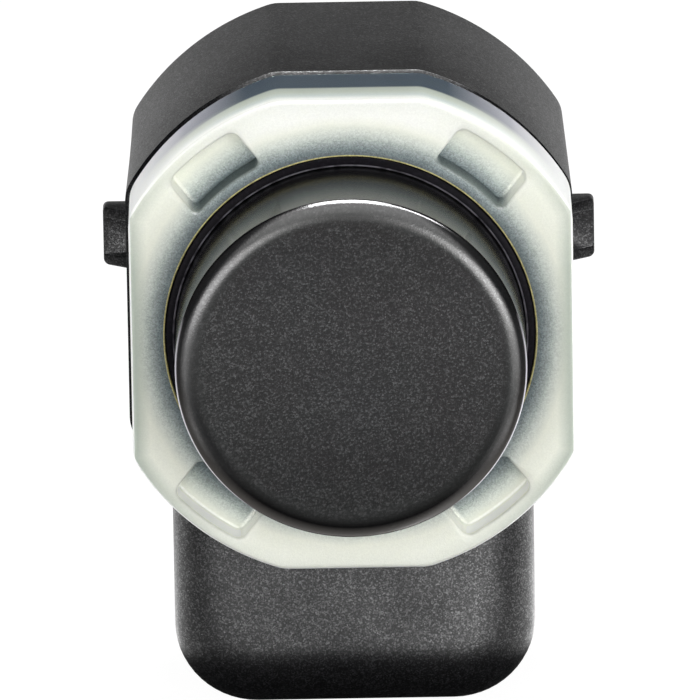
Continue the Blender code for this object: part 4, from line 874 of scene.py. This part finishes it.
paintFinish = makeCupPaint()
nylonFinish = makeHousingPlastic()
blackFinish = makeBlackSilicone()
clearFinish = makeClearSilicone()
finishes = {slot: makeInnerFinish(*look) for slot, look in innerFinishes.items()}
finishes.update({
    "painted_aluminium": paintFinish, "housing_plastic": nylonFinish,
    "black_silicone": blackFinish, "clear_silicone": clearFinish,
})
print("finishes mixed")

# Membrane cup, in millimetres
cup = {
    "radius": 7.75, "edge": (0.95, 0.45), "edgeSteps": 24, "wall": 0.9, "floor": 0.8,
    "innerEdge": 0.4, "backEdge": 0.15,
    "faceLoops": (2, 5, 6.5), "wallLoops": (-2, 0, 3), "steps": 256,
}


def makeCup():
    front, back = (cupBox[0].y - faceY) / mm, (cupBox[1].y - faceY) / mm
    inner = cup["radius"] - cup["wall"]
    innerFront = front + cup["floor"]
    profile = [(r, front) for r in cup["faceLoops"]]
    # The front edge is a quarter of an ellipse: wide on the face, short on the wall
    wide, long = cup["edge"]
    for i in range(cup["edgeSteps"] + 1):
        a = math.radians(90 * i / cup["edgeSteps"])
        profile.append((cup["radius"] - wide * (1 - math.sin(a)), front + long * (1 - math.cos(a))))
    profile += [(cup["radius"], y) for y in cup["wallLoops"]]
    profile += bend((cup["radius"] - cup["backEdge"], back - cup["backEdge"]), cup["backEdge"], 0, 90, 3)
    profile += [(inner, back), (inner, 0)]
    profile += bend((inner - cup["innerEdge"], innerFront + cup["innerEdge"]), cup["innerEdge"], 0, -90, 3)
    mesh = meshFromLoops("sensorCup", [circleLoop(r, y, cup["steps"]) for r, y in profile])
    pieceFromMesh("sensorCup", mesh, paintFinish, "membrane_cup", 30)


makeCup()
print("cup turned")


def makeSleeve():
    # Black sleeve round the cup, a little proud of the ring where it grips the cup
    back = (sleeveBox[1].y - faceY) / mm
    e = sleeve["edge"]
    profile = bend((sleeve["inner"] + e, e - sleeve["proud"]), e, -180, -90, 3)
    profile += bend((sleeve["outer"] - e, e), e, -90, 0, 3)
    profile += [(sleeve["outer"], back), (sleeve["lipRadius"], back)]
    profile += [(sleeve["lipRadius"], back - sleeve["lip"]), (sleeve["inner"], back - sleeve["lip"])]
    mesh = meshFromLoops("cupSleeve", [circleLoop(r, y, sleeve["steps"]) for r, y in profile], closed=True)
    pieceFromMesh("cupSleeve", mesh, blackFinish, "cup_sleeve", 50)


makeSleeve()
print("sleeve moulded")


def softOutline(shape, inset, y, steps, cornerSteps=8, roundSteps=40):
    # A round with four flats and soft corners, at equal angles about the axis, so that every loop has as
    # many points
    corner = shape["corner"]
    r, w, h = (shape[k] - corner for k in ("round", "halfWidth", "halfHeight"))
    first, last = math.acos(w / r), math.asin(h / r)
    grow = corner - inset
    # A quarter of it: the corner beside the side flat, the round, and the corner beside the top flat
    sideZ, topX = r * math.sin(first), r * math.cos(last)
    quarter = []
    for i in range(cornerSteps + 1):
        a = first * i / cornerSteps
        quarter.append((w + grow * math.cos(a), sideZ + grow * math.sin(a)))
    for i in range(1, roundSteps):
        a = first + (last - first) * i / roundSteps
        quarter.append(((r + grow) * math.cos(a), (r + grow) * math.sin(a)))
    for i in range(cornerSteps + 1):
        a = last + (math.pi / 2 - last) * i / cornerSteps
        quarter.append((topX + grow * math.cos(a), h + grow * math.sin(a)))
    points = quarter + [(-x, z) for x, z in reversed(quarter)]
    points += [(-x, -z) for x, z in quarter] + [(x, -z) for x, z in reversed(quarter)]
    points.append(points[0])
    ends = [math.atan2(z, x) % (2 * math.pi) for x, z in points]
    start = ends[0]
    turned = [(a - start) % (2 * math.pi) for a in ends]
    turned[-1] = 2 * math.pi
    loop, k = [], 0
    for i in range(steps):
        a = 2 * math.pi * i / steps
        while turned[k + 1] < a - 1e-9:
            k += 1
        # Where the ray at this angle meets the outline's edge
        (x0, z0), (x1, z1) = points[k], points[k + 1]
        c, s = math.cos(start + a), math.sin(start + a)
        dx, dz = x1 - x0, z1 - z0
        cross = c * dz - s * dx
        reach = (x0 * dz - z0 * dx) / cross if abs(cross) > 1e-12 else math.hypot(x0, z0)
        loop.append(((reach * c + shape["shift"]) * mm, y * mm, (reach * s - shape["lower"]) * mm))
    return loop


def matchedCircle(radius, y, steps):
    # A circle whose points lie at the same angles as the outline's
    corner = ring["corner"]
    r, w = ring["round"] - corner, ring["halfWidth"] - corner
    return circleLoop(radius, y, steps, math.atan2(r * math.sin(math.acos(w / r)), ring["halfWidth"]))


def pocketCutter():
    # One pocket's shape: a rounded rectangle bent round the axis
    half, outer = ring["pocketLength"] / 2, ring["pocketOuter"]
    inner, depth = outer - ring["pocketWidth"], ring["pocketDepth"]
    sections = ring["pocketMouth"] + [(depth + y, inset) for y, inset in ring["pocketFloor"]]
    loops = []
    for y, inset in sections:
        corner = ring["pocketCorner"] - inset * 0.5
        u0, v0, v1 = half - inset - corner, inner + inset + corner, outer - inset - corner
        points = []
        for cx, cz, start in ((u0, v1, 0), (-u0, v1, 90), (-u0, v0, 180), (u0, v0, 270)):
            for i in range(7):
                a = math.radians(start + 15 * i)
                points.append((cx + corner * math.cos(a), cz + corner * math.sin(a)))
            # The two long sides have points between, so that they can bend
            if start in (0, 180):
                step = -1 if start == 0 else 1
                for i in range(1, 8):
                    points.append((step * -u0 + step * 2 * u0 * i / 8, points[-1][1]))
        loops.append([(u * mm, y * mm, math.sqrt(max(v * v - u * u, 0)) * mm) for u, v in points])
    return loops


def repeatTree():
    # Geometry Nodes: the pocket at two angles either side of upright, and the same pair again below
    tree = bpy.data.node_groups.new("pocketRound", "GeometryNodeTree")
    tree.interface.new_socket("Geometry", in_out="INPUT", socket_type="NodeSocketGeometry")
    tree.interface.new_socket("Angle From Upright", in_out="INPUT", socket_type="NodeSocketFloat")
    tree.interface.new_socket("Material", in_out="INPUT", socket_type="NodeSocketMaterial")
    tree.interface.new_socket("Geometry", in_out="OUTPUT", socket_type="NodeSocketGeometry")
    source = addNode(tree, "NodeGroupInput").outputs
    pocket = addNode(tree, "GeometryNodeGeometryToInstance", {"Geometry": source["Geometry"]})
    back = addNode(tree, "ShaderNodeMath", {0: source["Angle From Upright"], 1: -1}, operation="MULTIPLY")
    joined = addNode(tree, "GeometryNodeJoinGeometry")
    for extra in (0, math.pi):
        for lean in (source["Angle From Upright"], back.outputs[0]):
            angle = addNode(tree, "ShaderNodeMath", {0: lean, 1: extra}, operation="ADD")
            turn = addNode(tree, "ShaderNodeCombineXYZ", {"Y": angle.outputs[0]})
            copy = addNode(tree, "GeometryNodeTransform", {
                "Geometry": pocket.outputs[0], "Rotation": turn.outputs[0]})
            tree.links.new(copy.outputs[0], joined.inputs[0])
    real = addNode(tree, "GeometryNodeRealizeInstances", {"Geometry": joined.outputs[0]})
    painted = addNode(tree, "GeometryNodeSetMaterial", {
        "Geometry": real.outputs[0], "Material": source["Material"]})
    addNode(tree, "NodeGroupOutput", {"Geometry": painted.outputs[0]})
    return tree


def makeRing():
    steps, edge = ring["steps"], ring["edge"]
    back = (ringBox[1].y - faceY) / mm
    loops = []
    for i in range(9):
        a = math.radians(90 * i / 8)
        loops.append(softOutline(ring, edge * (1 - math.sin(a)), edge * (1 - math.cos(a)), steps))
    loops.append(softOutline(ring, 0, ring["wallLoop"], steps))
    loops.append(softOutline(ring, 0, back - ring["backEdge"], steps))
    loops.append(softOutline(ring, ring["backEdge"], back, steps))
    for r, y in (
        (ring["neckBore"], back), (ring["neckBore"], ring["neckDepth"]), (ring["bore"], ring["neckDepth"]),
        (ring["bore"], ring["boreLoop"]), (ring["bore"], ring["boreEdge"]),
        (ring["bore"] + ring["boreEdge"], 0), (ring["faceLoop"], 0),
    ):
        loops.append(matchedCircle(r, y, steps))
    loops.append(softOutline(ring, edge + 0.03, 0, steps))
    ringBlank = blank("ringBlank", loops, closed=True)
    cutter = blank("pocket", pocketCutter())
    repeat = cutter.modifiers.new("pocketRound", "NODES")
    repeat.node_group = repeatTree()
    items = repeat.node_group.interface.items_tree
    sockets = {item.name: item.identifier for item in items if item.in_out == "INPUT"}
    repeat[sockets["Angle From Upright"]] = math.radians(90 - ring["pocketAngle"])
    repeat[sockets["Material"]] = clearFinish
    pockets = addObject("pockets", bakedCopy(cutter, "pockets"))
    cut = ringBlank.modifiers.new("pockets", "BOOLEAN")
    cut.object = pockets
    cut.solver = "EXACT"
    mesh = bakedCopy(ringBlank, "softRing")
    mesh.transform(Matrix.Translation(axisPlace))
    for piece in (ringBlank, cutter, pockets):
        bpy.data.objects.remove(piece)
    pieceFromMesh("softRing", mesh, clearFinish, "decoupling_ring", 35)


makeRing()
print("ring moulded")


def roundedOutline(halfWidth, bottom, top, corner, topCorner, y, steps=14):
    places = (
        (halfWidth - corner, bottom + corner, corner, 0),
        (corner - halfWidth, bottom + corner, corner, -90),
        (topCorner - halfWidth, top - topCorner, topCorner, -180),
        (halfWidth - topCorner, top - topCorner, topCorner, -270),
    )
    loop = []
    for x, z, radius, start in places:
        for i in range(steps + 1):
            a = math.radians(start - 90 * i / steps)
            loop.append(((x + radius * math.cos(a)) * mm, y * mm, (z + radius * math.sin(a)) * mm))
    return loop


def slab(low, high):
    # A plain block between two corners, as two loops
    (x0, y0, z0), (x1, y1, z1) = low, high
    return [[(x * mm, y * mm, z * mm) for x, z in ((x0, z0), (x1, z0), (x1, z1), (x0, z1))] for y in (y0, y1)]


def makeLug(side):
    # A wedge whose tip has soft corners, hollowed between two ribs
    lug, wall = housing["lug"], housing["body"]["halfWidth"]
    root, tip = wall - lug["sink"], wall + lug["standOut"]
    front, tipFront, back = lug["back"] - lug["rootDepth"], lug["back"] - lug["tipDepth"], lug["back"]
    low, high, r = lug["bottom"], lug["top"], lug["cornerRound"]
    angles = [math.radians(a) for a in range(0, 91, 15)]
    outline = [(root, low)]
    outline += [(tip - r + r * math.sin(a), low + r - r * math.cos(a)) for a in angles]
    outline += [(tip - r + r * math.cos(a), high - r + r * math.sin(a)) for a in angles]
    outline += [(root, high)]

    def slope(x):
        return front + (tipFront - front) * max(x - root, 0) / (tip - root)

    sloped = [(side * x * mm, slope(x) * mm, z * mm) for x, z in outline]
    solid = blank("lug", [sloped, [(side * x * mm, back * mm, z * mm) for x, z in outline]])
    hollow = blank("lugHollow", slab(
        (side * wall, tipFront - lug["rootDepth"], low + lug["rib"]),
        (side * (tip + housing["overcut"]), tipFront, high - lug["rib"])))
    cut = solid.modifiers.new("hollow", "BOOLEAN")
    cut.object, cut.solver = hollow, "EXACT"
    soften = solid.modifiers.new("edges", "BEVEL")
    soften.width, soften.segments = lug["edgeRound"] * mm, 2
    soften.limit_method, soften.angle_limit = "ANGLE", math.radians(40)
    return solid, hollow


def makeShell():
    # The body behind the ring: a chamfered rim in front, drafted sides and a rounded back
    h, steps, backRound = housing, housing["steps"], housing["backRound"]
    drafted = {**h["body"], "halfWidth": h["body"]["halfWidth"] - h["sideDraft"] + h["draft"]}
    across, deep = h["chamfer"]
    softAcross, softDeep = h["soften"]
    loops = [softOutline(h["body"], inset, h["front"] + y, steps) for inset, y in (
        (across + softAcross, 0), (across, softDeep), (softAcross, deep), (0, deep + softAcross))]
    for i in range(4):
        a = math.radians(30 * i)
        inset, y = h["draft"] + backRound * (1 - math.cos(a)), h["back"] - backRound * (1 - math.sin(a))
        loops.append(softOutline(drafted, inset, y, steps))
    return blank("housingShell", loops)


def makeJoined():
    # What is joined to the body: the socket box, its shroud and the neck behind the ring
    h, box, shroud = housing, housing["box"], housing["shroud"]
    # The box's front edge is a quarter of an ellipse, wide on the face and shorter along the sides
    wide, long = box["fillet"]
    sections = []
    for i in range(box["filletSteps"] + 1):
        a = math.radians(90 - 90 * i / box["filletSteps"])
        inset = wide * (1 - math.cos(a))
        sections.append(roundedOutline(
            box["halfWidth"] - inset, box["bottom"] + inset, box["top"], box["corner"] - inset,
            box["topCorner"], box["front"] + long * (1 - math.sin(a))))
    sections.append(roundedOutline(
        box["halfWidth"], box["bottom"], box["top"], box["corner"], box["topCorner"],
        h["back"] - 2 * h["backRound"]))
    edge, back = shroud["edge"], shroud["back"]
    skirt = [roundedOutline(
        box["halfWidth"] - inset, box["bottom"] + inset, shroud["top"] - inset, box["corner"] - inset,
        box["topCorner"] - inset, y) for y, inset in (
            (box["front"] + 2 * long, 0), (back - edge, 0), (back - edge * 0.3, edge * 0.3), (back, edge))]
    inner, outer, front = h["neck"]
    sunk, end = inner - h["overcut"], h["front"] + 0.4
    neck = [circleLoop(r, y, h["boreSteps"]) for r, y in (
        (sunk, front), (outer - 0.05, front), (outer, front + 0.05), (outer, end), (sunk, end))]
    return [blank("box", sections), blank("skirt", skirt), blank("neck", neck, closed=True)]


def makeCuts():
    # What is cut from the body: the room, the cup's bore, the socket's mouth, well, window and pin slots
    h, body, over = housing, housing["body"], housing["overcut"]
    hole, shoulderFront, shoulderBack = h["shoulder"]
    wall, ledge = h["cavityWall"], h["cavityWall"] - h["ledge"]
    room = []
    for inset, y in (
        (wall + h["shelf"], shoulderBack), (wall + h["shelf"], h["shelfDepth"]), (wall, h["shelfDepth"]),
        (wall, h["ledgeDepth"]), (ledge, h["ledgeDepth"]), (ledge, h["back"] + over),
    ):
        within = {key: body[key] - inset for key in ("round", "halfWidth", "halfHeight")}
        within.update({"corner": h["cavityCorner"], "shift": 0, "lower": 0})
        room.append(softOutline(within, 0, y, h["steps"]))
    inner, _, neckFront = h["neck"]
    bore = [circleLoop(r, y, h["boreSteps"]) for r, y in (
        (inner, neckFront - over), (inner, shoulderFront), (hole, shoulderFront),
        (hole, shoulderBack + over))]
    mouth, well, window, pins, shroud = h["mouth"], h["well"], h["window"], h["pins"], h["shroud"]
    flared = mouth["flare"] + mouth["flare"] / mouth["flareDepth"] * over
    opening = [roundedOutline(
        mouth["halfWidth"] + flare, mouth["floor"] - flare, mouth["roof"] + flare, mouth["corner"] + flare,
        mouth["topCorner"] + flare, y) for y, flare in (
            (mouth["front"], 0), (shroud["back"] - mouth["flareDepth"], 0), (shroud["back"], mouth["flare"]),
            (shroud["back"] + over, flared))]
    cuts = [blank("room", room), blank("bore", bore), blank("mouth", opening)]
    cuts.append(blank("well", slab(
        (-well["halfWidth"], well["front"], well["floor"]), (well["halfWidth"], well["back"], well["top"]))))
    cuts.append(blank("window", slab(
        (-window["halfWidth"], window["front"], mouth["roof"] - over),
        (window["halfWidth"], window["back"], shroud["top"] + over))))
    for x in pins["places"]:
        cuts.append(blank("pinSlot", slab(
            (x - pins["half"], well["back"] - over, pins["height"] - pins["half"]),
            (x + pins["half"], mouth["front"] + over, pins["height"] + pins["half"]))))
    return cuts


def makeHousing():
    shell, joined, cuts = makeShell(), makeJoined(), makeCuts()
    lugs = [makeLug(side) for side in (-1, 1)]
    for operation, tools in (("UNION", joined + [solid for solid, _ in lugs]), ("DIFFERENCE", cuts)):
        for tool in tools:
            step = shell.modifiers.new(tool.name, "BOOLEAN")
            step.operation, step.object, step.solver = operation, tool, "EXACT"
    mesh = bakedCopy(shell, "housingBody")
    mesh.transform(Matrix.Translation(axisPlace))
    for piece in [shell, *joined, *cuts, *(part for lug in lugs for part in lug)]:
        bpy.data.objects.remove(piece)
    pieceFromMesh("housingBody", mesh, nylonFinish, "housing", 32)


makeHousing()
print("housing moulded")

# CAD nodes that stay: each gets the finish of its slot
for name, node in frame["nodes"].items():
    slot = next(s["material_slot"] for s in frame["record"]["subparts"] if s["node"] == name)
    for i in range(len(node.data.materials)):
        node.data.materials[i] = finishes[slot]
print("CAD nodes dressed")
